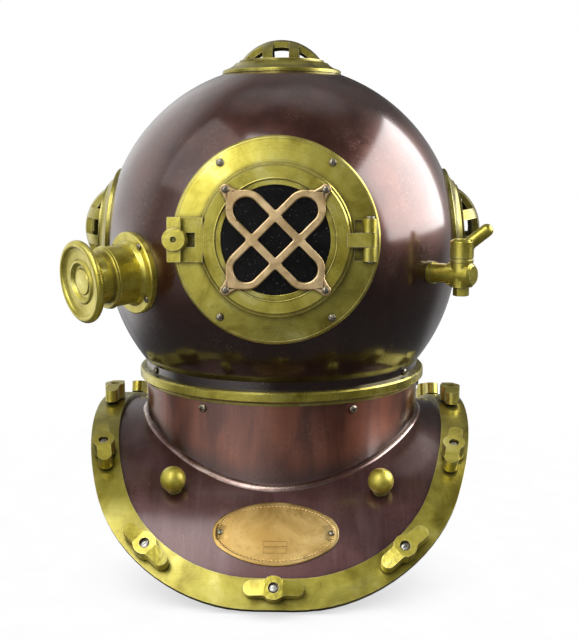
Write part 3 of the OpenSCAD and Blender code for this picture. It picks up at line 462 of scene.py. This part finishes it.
def grille_bronze():
    """Grille: pinkish bronze with painted shade in its corners and worn edges."""
    n = Nodes("grille_bronze")
    stain = n.noise(75.0, 5.0, 0.65, warp=0.4)
    color = n.mix(n.ramp(stain, 0.3, 0.7), (0.52, 0.345, 0.145), (0.86, 0.630, 0.330))
    # Painted shade in the hollows.
    color = n.mix(n.times(n.hollow_shade(3.5), 0.8), color, (0.060, 0.034, 0.016))
    color = n.mix(n.times(n.edges(0.8), 0.85), color, (0.88, 0.70, 0.48))
    bump = n.bump(n.noise(300.0, 4.0, 0.6), 0.09)
    rough = n.ramp(n.noise(90.0, 3.0), 0.3, 0.7, 0.26, 0.42)
    return n.finish(Base_Color=color, Metallic=0.86, Roughness=rough, Normal=bump,
                    Coat_Weight=0.5, Coat_Roughness=0.24, Coat_IOR=1.6)


def steel(name, color_low, color_high):
    """Stained steel of screws, pins, studs and the spring."""
    n = Nodes(name)
    stain = n.noise(180.0, 4.0, 0.65)
    color = n.mix(n.ramp(stain, 0.35, 0.7), color_low, color_high)
    # Painted shade in the hollows.
    color = n.mix(n.hollow_shade(1.6), color, (0.035, 0.028, 0.020))
    color = n.mix(n.times(n.edges(0.3), 0.8), color, (0.80, 0.76, 0.66))
    bump = n.bump(n.noise(500.0, 3.0), 0.04)
    rough = n.ramp(stain, 0.3, 0.7, 0.26, 0.42)
    return n.finish(Base_Color=color, Metallic=0.92, Roughness=rough, Normal=bump)


def window_glass():
    """Window glass painted near-black and nearly opaque for the shade inside the helmet, with dust and
    lint.
    """
    n = Nodes("window_glass")
    dust = n.ramp(n.noise(620.0, 2.0, 0.5), 0.66, 0.74)
    lint = n.ramp(n.noise(150.0, 4.0, 0.7, warp=1.5), 0.60, 0.74)
    film = n.ramp(n.noise(45.0, 5.0, 0.65), 0.35, 0.75)
    # Painted shade: near-black colour for the dark inside of the helmet.
    color = n.mix(film, (0.003, 0.003, 0.003), (0.009, 0.008, 0.008))
    color = n.mix(n.times(lint, 0.35), color, (0.050, 0.048, 0.046))
    color = n.mix(n.times(dust, 0.7), color, (0.16, 0.16, 0.15))
    rough = n.ramp(n.noise(70.0, 4.0), 0.3, 0.75, 0.08, 0.22)
    bump = n.bump(n.noise(20.0, 2.0), 0.04)
    return n.finish(
        Base_Color=color, Metallic=0.0, Roughness=rough, Normal=bump, IOR=1.45,
        Specular_IOR_Level=0.22, Alpha=n.ramp(film, 0.0, 1.0, 0.92, 0.97))


def leather():
    """Grained leather of the neck joint."""
    n = Nodes("neck_leather")
    grain = n.noise(520.0, 4.0, 0.6)
    color = n.mix(grain, (0.06, 0.030, 0.016), (0.14, 0.075, 0.040))
    return n.finish(Base_Color=color, Roughness=n.ramp(grain, 0.3, 0.7, 0.55, 0.8),
                    Normal=n.bump(grain, 0.15))


def rubber():
    """Black rubber of the door's seal."""
    n = Nodes("seal_rubber")
    grain = n.noise(400.0, 3.0, 0.6)
    color = n.mix(grain, (0.010, 0.010, 0.009), (0.030, 0.028, 0.026))
    return n.finish(Base_Color=color, Roughness=n.ramp(grain, 0.3, 0.7, 0.5, 0.75),
                    Normal=n.bump(grain, 0.08))


def plate_brass(name, tone):
    """Name plate: orange brass with a fine even grain."""
    n = Nodes(name)
    low, middle, high = (tuple(c * tone for c in color) for color in (
        (0.34, 0.205, 0.055), (0.56, 0.375, 0.130), (0.74, 0.560, 0.260)))
    stain = n.noise(34.0, 5.0, 0.65, warp=0.6)
    color = n.mix(n.ramp(stain, 0.3, 0.62), low, middle)
    color = n.mix(n.ramp(stain, 0.5, 0.8, 0.0, 0.7), color, high)
    spots = n.noise(210.0, 4.0, 0.6)
    color = n.mix(n.ramp(spots, 0.55, 0.75, 0.0, 0.5), color, (0.21, 0.125, 0.036))
    # Painted shade in the hollows.
    color = n.mix(n.hollow_shade(1.6), color, (0.070, 0.036, 0.012))
    color = n.mix(n.times(n.edges(0.5), 0.8), color, (0.86, 0.72, 0.42))
    bump = n.bump(n.noise(420.0, 3.0, 0.6), 0.05)
    rough = n.ramp(stain, 0.3, 0.7, 0.30, 0.44)
    return n.finish(Base_Color=color, Metallic=0.9, Roughness=rough, Normal=bump)


# Mesh helpers


def piece(name, bm, body, material, sharp=35.0):
    """Finished mesh of the object that moves with a body."""
    bmesh.ops.recalc_face_normals(bm, faces=bm.faces)
    mesh = bpy.data.meshes.new(name)
    bm.to_mesh(mesh)
    bm.free()
    mesh.shade_smooth()
    mesh.set_sharp_from_angle(angle=math.radians(sharp))
    mesh.materials.append(material)
    obj = bpy.data.objects.new(name, mesh)
    bpy.context.scene.collection.objects.link(obj)
    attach(obj, body)
    return obj


def ring_of(bm, outline, matrix, steps):
    """Closed outline of (radius, height) points turned round a frame's Z."""
    rows = []
    for i in range(steps):
        a = 2 * math.pi * i / steps
        rows.append([bm.verts.new(matrix @ (Vector((r * math.cos(a), r * math.sin(a), h)) * MM))
                     for r, h in outline])
    for i in range(steps):
        here, there = rows[i], rows[(i + 1) % steps]
        for j in range(len(outline)):
            k = (j + 1) % len(outline)
            bm.faces.new((here[j], here[k], there[k], there[j]))


def lathe_solid(bm, outline, matrix, steps):
    """Outline of (radius, height) points from the axis round to the axis, as a closed solid."""
    first = bm.verts.new(matrix @ (Vector((0, 0, outline[0][1])) * MM))
    last = bm.verts.new(matrix @ (Vector((0, 0, outline[-1][1])) * MM))
    rows = []
    for i in range(steps):
        a = 2 * math.pi * i / steps
        rows.append([bm.verts.new(matrix @ (Vector((r * math.cos(a), r * math.sin(a), h)) * MM))
                     for r, h in outline[1:-1]])
    for i in range(steps):
        here, there = rows[i], rows[(i + 1) % steps]
        bm.faces.new((first, here[0], there[0]))
        bm.faces.new((last, there[-1], here[-1]))
        for j in range(len(here) - 1):
            bm.faces.new((here[j], here[j + 1], there[j + 1], there[j]))


def tube_along(bm, points, radius, sides):
    """Closed tube round a loop of points."""
    count = len(points)
    rows = []
    for i, p in enumerate(points):
        ahead = (points[(i + 1) % count] - points[i - 1]).normalized()
        side = ahead.cross(Vector((0, 0, 1))).normalized()
        up = side.cross(ahead)
        rows.append([bm.verts.new(p + (side * math.cos(t) + up * math.sin(t)) * radius)
                     for t in (2 * math.pi * k / sides for k in range(sides))])
    for i in range(count):
        here, there = rows[i], rows[(i + 1) % count]
        for k in range(sides):
            m = (k + 1) % sides
            bm.faces.new((here[k], here[m], there[m], there[k]))


def stamp(bm, source, matrices):
    """Copies of a mesh at several frames."""
    for matrix in matrices:
        before = set(bm.verts)
        bm.from_mesh(source)
        fresh = [v for v in bm.verts if v not in before]
        bmesh.ops.transform(bm, matrix=matrix, verts=fresh)


def cut(solid, cutters):
    """Mesh of a solid minus other solids, all of them bmesh."""
    objects = []
    for i, bm in enumerate([solid, *cutters]):
        bmesh.ops.recalc_face_normals(bm, faces=bm.faces)
        mesh = bpy.data.meshes.new("cut_%d" % i)
        bm.to_mesh(mesh)
        bm.free()
        obj = bpy.data.objects.new("cut_%d" % i, mesh)
        bpy.context.scene.collection.objects.link(obj)
        objects.append(obj)
    for cutter in objects[1:]:
        mod = objects[0].modifiers.new("cut", "BOOLEAN")
        mod.operation = "DIFFERENCE"
        mod.solver = "EXACT"
        mod.object = cutter
    graph = bpy.context.evaluated_depsgraph_get()
    made = bpy.data.meshes.new_from_object(objects[0].evaluated_get(graph))
    for obj in objects:
        bpy.data.objects.remove(obj)
    return made


def block(length, width, depth, top):
    """Box centred on Z that reaches from above top down to depth under it."""
    bm = bmesh.new()
    bmesh.ops.create_cube(bm, size=1.0)
    size = Matrix.Diagonal((length * MM, width * MM, (depth + 1) * MM, 1))
    bmesh.ops.transform(bm, matrix=shift(0, 0, top + 0.5 - depth / 2) @ size, verts=bm.verts)
    return bm


def screw_mesh(head_r, shank_r, shank, height, cross):
    """Screw with a domed head on Z = 0, with a slot or a cross recess."""
    dome = [(head_r * math.cos(t), height * (0.35 + 0.65 * math.sin(t)))
            for t in (math.pi / 2 * k / 8 for k in range(8))]
    bm = bmesh.new()
    lathe_solid(bm, [(0, -shank), (shank_r, -shank), (shank_r, 0), (head_r * 0.97, 0),
                     *dome, (0, height)], Matrix(), 40)
    width = head_r * 0.26
    cutters = [block(head_r * (1.25 if cross else 2.4), width, height * 0.55, height)]
    if cross:
        cutters.append(block(width, head_r * 1.25, height * 0.55, height))
    return cut(bm, cutters)


def screws(node, places, body, mesh, material):
    """Detailed screws in place of a CAD node."""
    bm = bmesh.new()
    stamp(bm, mesh, places)
    bpy.data.meshes.remove(mesh)
    obj = piece(node + "_cut", bm, body, material, 30.0)
    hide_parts(node)


# Pieces


def polar(matrix, radius, angles, height):
    """Frames on a circle round a frame's Z."""
    return [matrix @ turn(a, "Z") @ shift(radius, 0, height) for a in angles]


def all_screws(material):
    """Screws of the CAD model with cut heads, each left at its own angle."""
    rnd = random.Random(4)

    def spun(places):
        return [p @ turn(rnd.uniform(0, 180), "Z") for p in places]

    def on_neck(z, angles):
        return [toward(a, 0, CENTRE_H + z) @ shift(0, 0, SCREW_SEAT) for a in angles]

    screws("frame_screws", spun(polar(FRONT, FRAME_SCREW_R, (54, 126, 234, 306), FRAME_FACE)),
           "bonnet", screw_mesh(3.0, 1.6, 14, 1.9, False), material)
    screws("grille_screws", spun(polar(FRONT, EAR_R, (45, 135, 225, 315), GRILLE_FACE)),
           "door", screw_mesh(2.7, 1.7, 8.5, 1.7, True), material)
    screws("valve_screws", spun(polar(VALVE_AT, VALVE_SCREW_R, (50, 140, 230, 320), FLANGE_FACE)),
           "bonnet", screw_mesh(2.7, 1.6, 9, 1.8, False), material)
    screws("neck_screws", spun(on_neck(NECK_SCREW_Z, (30, 90, 150, 210, 270, 330))),
           "breastplate", screw_mesh(3.5, 1.5, 6.4, 2.3, True), material)
    screws("bonnet_screws", spun(on_neck(BONNET_SCREW_Z, (60, 120, 240, 300))),
           "bonnet", screw_mesh(3.1, 1.5, 7.4, 2.0, True), material)
    sides = [on_arch(s * PLATE_SCREW_X, PLATE_ANGLE, PLATE_FACE) for s in (-1, 1)]
    screws("plate_screws", spun(sides),
           "breastplate", screw_mesh(2.3, 1.25, 4.2, 1.5, False), material)


def crease_points(steps=240):
    """Points along the line where the collar's arc meets the plate, found by halving."""
    points = []
    for i in range(steps):
        a = 2 * math.pi * i / steps
        low, high = NECK_R, CREASE_FAR
        for _ in range(40):
            r = (low + high) / 2
            arch = ARCH_Z + math.sqrt(ARCH_R ** 2 - (r * math.cos(a)) ** 2)
            fall = COLLAR_ARC_R ** 2 - (NECK_R + COLLAR_ARC_R - r) ** 2
            collar = COLLAR_WAIST - math.sqrt(max(fall, 0.0))
            if collar > arch:
                low = r
            else:
                high = r
        r += CREASE_OUT
        points.append(Vector((r * math.sin(a), -r * math.cos(a),
                              CENTRE_H + arch + CREASE_LIFT)) * MM)
    return points


def stud_ends(material):
    """Slotted ends of the studs, sunk in their wing nuts."""
    mesh = screw_mesh(3.1, 2.4, 1.5, 1.1, False)
    bm = bmesh.new()
    for i, angle in enumerate(STUD_ANGLES):
        lo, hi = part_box("strap_nut_%02d" % (i + 1))
        middle = (lo + hi) / 2
        place = on_arch(middle.x / MM, angle, STRAP_R + STUD_END_LIFT)
        stamp(bm, mesh, [place @ turn(STUD_END_TURN * i, "Z")])
    bpy.data.meshes.remove(mesh)
    piece("stud_ends", bm, "breastplate", material, 30.0)


def collar_bead(material):
    """Line of solder round the collar's foot."""
    bm = bmesh.new()
    tube_along(bm, crease_points(), CREASE_R * MM, 28)
    piece("collar_bead", bm, "breastplate", material)


def oval_reach(angle, half_a, half_b, end_r):
    """Distance from the middle to the edge of an oval of four arcs."""
    x, y = math.cos(angle), math.sin(angle)
    low, high = 0.0, half_a
    big = ((half_a - end_r) ** 2 + half_b ** 2 - end_r ** 2) / (2 * (half_b - end_r))
    meet = big * (half_a - end_r) / math.hypot(half_a - end_r, big - half_b)
    for _ in range(40):
        r = (low + high) / 2
        px, py = abs(r * x), abs(r * y)
        if px > meet:
            inside = math.hypot(px - half_a + end_r, py) < end_r
        else:
            inside = math.hypot(px, py + big - half_b) < big
        low, high = (r, high) if inside else (low, r)
    return r


def on_plate(x, s, height):
    """Frame on the name plate, at a distance s up the arch from its middle."""
    return on_arch(x, PLATE_ANGLE - math.degrees(s / PLATE_FACE), PLATE_FACE + height)


def name_plate(material):
    """Curved oval sheet with a rolled edge and a groove inside it."""
    steps = 144
    section = [(0.0, -PLATE_UNDER), (0.0, -0.35), (0.35, -0.05), (0.9, 0.0), (2.0, 0.0), (2.15, -0.18),
               (2.55, -0.18), (2.7, 0.0), (7.0, 0.0), (14.0, 0.0), (20.0, 0.0)]
    bm = bmesh.new()
    rows = []
    for i in range(steps):
        t = 2 * math.pi * i / steps
        reach = oval_reach(t, PLATE_HALF_A, PLATE_HALF_B, PLATE_END_R)
        row = []
        for inset, height in section:
            r = reach * (1 - inset / PLATE_HALF_B)
            x, s = r * math.cos(t), r * math.sin(t)
            row.append(bm.verts.new(on_plate(x, s, height).to_translation()))
        rows.append(row)
    middle = bm.verts.new(on_plate(0, 0, 0).to_translation())
    under = bm.verts.new(on_plate(0, 0, -PLATE_UNDER).to_translation())
    for i in range(steps):
        here, there = rows[i], rows[(i + 1) % steps]
        for j in range(len(section) - 1):
            bm.faces.new((here[j], here[j + 1], there[j + 1], there[j]))
        bm.faces.new((here[-1], middle, there[-1]))
        bm.faces.new((here[0], there[0], under))
    obj = piece("name_plate_sheet", bm, "breastplate", material)
    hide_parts("name_plate")


def plate_marks(material):
    """Dotted border and two empty boxes on the name plate."""
    bm = bmesh.new()
    half_a, half_b = PLATE_HALF_A - DOTS_INSET, PLATE_HALF_B - DOTS_INSET
    dot = [(0, -0.3), (0.86, -0.3), (0.80, 0.22), (0.50, 0.52), (0, 0.62)]
    for i in range(DOTS):
        t = 2 * math.pi * i / DOTS
        x, s = half_a * math.cos(t), half_b * math.sin(t)
        beside_screw = abs(x) > 40 and abs(s) < 4
        if not beside_screw:
            lathe_solid(bm, dot, on_plate(x, s, 0), 10)
    for s in (-9.5, -15.0):
        label_box(bm, s, 9.0, 1.9)
    piece("name_plate_marks", bm, "breastplate", material)


def label_box(bm, s, half_x, half_s):
    """Raised thin rectangle round an empty field of the plate."""
    section = ((0.26, -0.3), (0.20, 0.26), (-0.20, 0.26), (-0.26, -0.3))
    corners = [(-half_x, -half_s), (half_x, -half_s), (half_x, half_s), (-half_x, half_s)]
    rows = []
    for sx, ss in corners:
        row = []
        for out, height in section:
            x = sx + math.copysign(out, sx)
            y = s + ss + math.copysign(out, ss)
            row.append(bm.verts.new(on_plate(x, y, height).to_translation()))
        rows.append(row)
    for i in range(4):
        here, there = rows[i], rows[(i + 1) % 4]
        for j in range(4):
            m = (j + 1) % 4
            bm.faces.new((here[j], here[m], there[m], there[j]))


def bead(radius, height, r, rise, sides=8):
    """Oval outline for a turned bead."""
    return [(radius + r * math.cos(2 * math.pi * k / sides),
             height + rise * math.sin(2 * math.pi * k / sides)) for k in range(sides)]


def turned_lines(door, front):
    """Fine turned beads on the door and the front frame."""
    bm = bmesh.new()
    ring_of(bm, bead(DOOR_BEAD_R, DOOR_FACE, 0.7, 0.5), FRONT, 128)
    piece("door_beads", bm, "door", door)
    bm = bmesh.new()
    ring_of(bm, bead(FRAME_BEAD_R, FRAME_FACE, 0.45, 0.3), FRONT, 160)
    piece("frame_beads", bm, "bonnet", front)


def guard_screws(material):
    """Small screws that hold the three cages."""
    mesh = screw_mesh(1.9, 1.0, 2.0, 1.1, False)
    for name, place in (("top", TOP), ("left", LEFT), ("right", RIGHT)):
        bm = bmesh.new()
        stamp(bm, mesh, polar(place, CAGE_SCREW_R, (45, 135, 225, 315), CAGE_BASE))
        piece(name + "_guard_screws", bm, "bonnet", material, 30.0)
    bpy.data.meshes.remove(mesh)


# Finish of the CAD nodes


def smoothing():
    """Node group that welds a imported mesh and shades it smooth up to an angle."""
    group = bpy.data.node_groups.new("weld_and_smooth", "GeometryNodeTree")
    group.interface.new_socket("Geometry", in_out="INPUT", socket_type="NodeSocketGeometry")
    group.interface.new_socket("Geometry", in_out="OUTPUT", socket_type="NodeSocketGeometry")
    nodes, links = group.nodes, group.links
    source, target = nodes.new("NodeGroupInput"), nodes.new("NodeGroupOutput")
    weld = nodes.new("GeometryNodeMergeByDistance")
    weld.inputs["Distance"].default_value = WELD
    faces = nodes.new("GeometryNodeSetShadeSmooth")
    faces.inputs["Shade Smooth"].default_value = True
    edges = nodes.new("GeometryNodeSetShadeSmooth")
    edges.domain = "EDGE"
    angle = nodes.new("GeometryNodeInputMeshEdgeAngle")
    compare = nodes.new("FunctionNodeCompare")
    compare.data_type = "FLOAT"
    compare.operation = "LESS_EQUAL"
    compare.inputs["B"].default_value = math.radians(SMOOTH_ANGLE)
    links.new(source.outputs[0], weld.inputs["Geometry"])
    links.new(weld.outputs[0], faces.inputs["Geometry"])
    links.new(faces.outputs[0], edges.inputs["Geometry"])
    links.new(angle.outputs["Unsigned Angle"], compare.inputs["A"])
    links.new(compare.outputs[0], edges.inputs["Shade Smooth"])
    links.new(edges.outputs[0], target.inputs[0])
    return group


def dress(node, material, group, bevel=0.0, steps=2):
    """Material, smoothing and softened edges on a CAD node."""
    obj = frame["nodes"][node]
    obj.data.materials.clear()
    obj.data.materials.append(material)
    mod = obj.modifiers.new("smooth", "NODES")
    mod.node_group = group
    if bevel:
        soft = obj.modifiers.new("soft_edges", "BEVEL")
        soft.width = bevel * MM
        soft.segments = steps
        soft.limit_method = "ANGLE"
        soft.angle_limit = math.radians(BEVEL_ANGLE)
        soft.use_clamp_overlap = True
        soft.miter_outer = "MITER_ARC"
        even = obj.modifiers.new("even", "WEIGHTED_NORMAL")
        even.keep_sharp = True


# Light, floor and camera


# Bright parts of the room that gloss shows: azimuth, height, half angles in and out, strength
ROOM_BASE = 0.07
ROOM = [
    (-38, 20, 12, 44, 0.75),
    (-60, 8, 14, 40, 0.25),
    (-24, 2, 8, 26, 0.35),
    (16, 22, 6, 26, 0.25),
    (-132, 14, 22, 46, 0.85),
    (-118, -16, 6, 26, 0.45),
    (168, 56, 6, 28, 0.12),
    (150, 68, 4, 18, 0.32),
    (-150, 70, 4, 16, 0.34),
    (152, -8, 8, 30, 0.25),
]


def way(azimuth, height):
    """Direction from the helmet, with 0 to the front and 90 to the viewer's right."""
    a, h = math.radians(azimuth), math.radians(height)
    return Vector((math.sin(a) * math.cos(h), -math.cos(a) * math.cos(h), math.sin(h)))


def world():
    """White to the camera, an even grey to matte surfaces, and the room to gloss."""
    scene = bpy.context.scene
    scene.world = bpy.data.worlds.new("studio")
    n = Nodes("studio", scene.world)
    ray = n.add("ShaderNodeTexCoord").outputs["Generated"]
    room = ROOM_BASE
    for azimuth, height, near, far, value in ROOM:
        facing = n.vector("DOT_PRODUCT", ray, way(azimuth, height))
        glow = n.ramp(facing, math.cos(math.radians(far)), math.cos(math.radians(near)), 0.0, value)
        room = n.math("ADD", room, glow)
    path = n.add("ShaderNodeLightPath")
    level = n.add("ShaderNodeMix")
    n.put(level.inputs[0], path.outputs["Is Glossy Ray"])
    n.put(level.inputs[2], 0.66)
    n.put(level.inputs[3], room)
    seen = n.math("MAXIMUM", path.outputs["Is Camera Ray"], path.outputs["Is Transmission Ray"])
    back = n.add("ShaderNodeBackground")
    back.inputs["Color"].default_value = (1, 1, 1, 1)
    n.put(back.inputs["Strength"], n.math("MAXIMUM", level.outputs[0], seen))
    out = n.add("ShaderNodeOutputWorld")
    n.put(out.inputs[0], back.outputs[0])


def softbox(name, azimuth, height, distance, width, tall, radiance, diffuse=True):
    """Soft rectangular light that faces the bonnet."""
    light = bpy.data.lights.new(name, "AREA")
    light.shape = "RECTANGLE"
    light.size, light.size_y = width, tall
    light.energy = radiance * math.pi * width * tall
    obj = bpy.data.objects.new(name, light)
    bpy.context.scene.collection.objects.link(obj)
    out = way(azimuth, height)
    obj.location = Vector((0, 0, CENTRE_H * MM)) + out * distance
    obj.rotation_euler = out.to_track_quat("Z", "Y").to_euler()
    obj.visible_camera = False
    obj.visible_diffuse = diffuse


def floor():
    """White floor with a painted shadow under the helmet, shown to the camera, that fades out round
    the helmet.
    """
    n = Nodes("floor_white")
    reach = n.vector("LENGTH", n.join(*n.split(n.coords)[:2], 0.0))
    fade = n.ramp(reach, 0.32, 0.60)
    # Painted shadow: ambient occlusion darkens the white the camera sees.
    shade = n.add("ShaderNodeAmbientOcclusion", samples=12)
    shade.inputs["Distance"].default_value = 0.10
    grain = n.ramp(n.noise(30.0, 3.0), 0.3, 0.7, 0.985, 1.0)
    soft = n.ramp(shade.outputs["AO"], 0.15, 0.85, 0.62, 1.0)
    path = n.add("ShaderNodeLightPath")
    white = n.add("ShaderNodeEmission")
    level = n.mix(1.0, n.join(soft, soft, soft), n.join(grain, grain, grain), "MULTIPLY")
    n.put(white.inputs["Color"], level)
    matte = n.add("ShaderNodeBsdfDiffuse")
    matte.inputs["Color"].default_value = (0.11, 0.11, 0.11, 1.0)
    seen = n.add("ShaderNodeMixShader")
    n.put(seen.inputs[0], path.outputs["Is Camera Ray"])
    n.put(seen.inputs[1], matte.outputs[0])
    n.put(seen.inputs[2], white.outputs[0])
    clear = n.add("ShaderNodeBsdfTransparent")
    both = n.add("ShaderNodeMixShader")
    n.put(both.inputs[0], fade)
    n.put(both.inputs[1], seen.outputs[0])
    n.put(both.inputs[2], clear.outputs[0])
    out = n.add("ShaderNodeOutputMaterial")
    n.put(out.inputs[0], both.outputs[0])
    bm = bmesh.new()
    bmesh.ops.create_grid(bm, x_segments=8, y_segments=8, size=1.3)
    mesh = bpy.data.meshes.new("floor")
    bm.to_mesh(mesh)
    bm.free()
    mesh.materials.append(n.owner)
    obj = bpy.data.objects.new("floor", mesh)
    obj.location = (0, 0, -0.0002)
    bpy.context.scene.collection.objects.link(obj)


def camera():
    """Camera matched to the photograph."""
    data = bpy.data.cameras.new("camera")
    data.lens = 58.9
    data.sensor_width = 36.0
    data.shift_x = 0.0114
    obj = bpy.data.objects.new("camera", data)
    bpy.context.scene.collection.objects.link(obj)
    azimuth, distance, height, fall = 0.03, 0.95235, 0.345, 9.1
    obj.location = (distance * math.sin(azimuth), -distance * math.cos(azimuth), height)
    obj.rotation_euler = (math.radians(90 - fall), 0, azimuth)
    bpy.context.scene.camera = obj


def studio():
    world()
    floor()
    softbox("right_softbox", 97, 25, 1.25, width=1.46, tall=1.0, radiance=5.2, diffuse=False)
    softbox("left_softbox", -72, 46, 1.30, width=0.72, tall=0.90, radiance=0.85)
    softbox("front_softbox", -22, 42, 1.20, width=0.40, tall=1.20, radiance=4.3)
    camera()
    bpy.context.scene.view_settings.view_transform = "Standard"


# Assembly


def dress_all():
    """Materials of every node and the pieces that stand for or add to them."""
    group = smoothing()
    steel_dark = steel("screw_steel", (0.20, 0.17, 0.11), (0.46, 0.42, 0.32))
    steel_bright = steel("stud_steel", (0.42, 0.40, 0.36), (0.74, 0.73, 0.70))
    cast = brass("cast_brass", tone=1.26, cast=1.0, rough=(0.30, 0.46))
    strap = brass("strap_brass", tone=0.90, rough=(0.28, 0.42), edge=0.6)
    plain = brass("plain_brass")
    dull = brass("dull_brass", tone=0.8, rough=(0.36, 0.5), edge=0.4)
    front = brass("front_brass", FRONT, tone=1.00, rough=(0.26, 0.38), lines=0.04, crown=0.13)
    door = brass("door_brass", FRONT, tone=1.08, rough=(0.24, 0.36), lines=0.04)
    valve = brass("valve_brass", VALVE_AT, tone=1.36, rough=(0.24, 0.36), lines=0.05, spotted=0.2)
    ball = brass("ball_brass", tone=1.30, rough=(0.40, 0.52), spotted=0.2)
    cock = brass("cock_brass", COCK_AT, tone=1.25, rough=(0.24, 0.34), lines=0.02, spotted=0.1)
    neck = brass("neck_brass", shift(0, 0, CENTRE_H), tone=1.12, rough=(0.22, 0.36), lines=0.05)
    # Lit and shaded copies of one brass for the three cages: each side's tone is painted lighter or
    # darker for the light that falls on it.
    lit_and_shaded_cages = {"top": brass("top_brass", TOP, tone=0.80), "left": brass("left_brass", LEFT, tone=0.95),
            "right": brass("right_brass", RIGHT, tone=0.62)}
    glass = window_glass()
    dress("bonnet", bonnet_copper(), group)
    dress("corselet", plate_copper(), group)
    dress("strap_front", strap, group, 0.5)
    dress("strap_back", strap, group, 0.5)
    dress("strap_studs", steel_dark, group)
    dress("neck_ring", dull, group)
    dress("neck_leather", leather(), group)
    for i in range(len(STUD_ANGLES)):
        dress("strap_nut_%02d" % (i + 1), cast, group, 1.2, 3)
    for side in ("left", "right"):
        dress("lanyard_stud_" + side, ball, group)
    name_plate(plate_brass("name_plate_brass", 0.98))
    plate_marks(plate_brass("raised_brass", 1.6))
    dress("bonnet_ring", neck, group, 0.5)
    dress("front_frame", front, group, 0.5)
    dress("frame_seal", rubber(), group)
    for node in ("hinge_pin", "latch_pin"):
        dress(node, steel_dark, group, 0.3)
    for side, material in lit_and_shaded_cages.items():
        dress(side + "_ring", material, group, 0.4)
        dress(side + "_glass", glass, group)
        dress(side + "_guard", material, group, 0.9)
    for node in ("valve_body", "valve_wheel"):
        dress(node, valve, group, 0.4)
    for node in ("spring_seat", "valve_disc"):
        dress(node, dull, group)
    dress("valve_spring", steel_dark, group)
    for node in ("cock_body", "cock_lever"):
        dress(node, cock, group, 0.5)
    for node in ("air_elbow", "phone_elbow"):
        dress(node, plain, group, 0.5)
    dress("door_ring", door, group, 0.4)
    dress("door_glass", glass, group)
    dress("glass_retainer", door, group, 0.3)
    dress("grille", grille_bronze(), group, 1.0, 3)
    dress("swing_bolt", plain, group, 0.4)
    dress("door_nut", cast, group, 0.8, 3)
    all_screws(steel_dark)
    guard_screws(steel_dark)
    collar_bead(crease_copper())
    stud_ends(steel_bright)
    turned_lines(door, front)


dress_all()
studio()
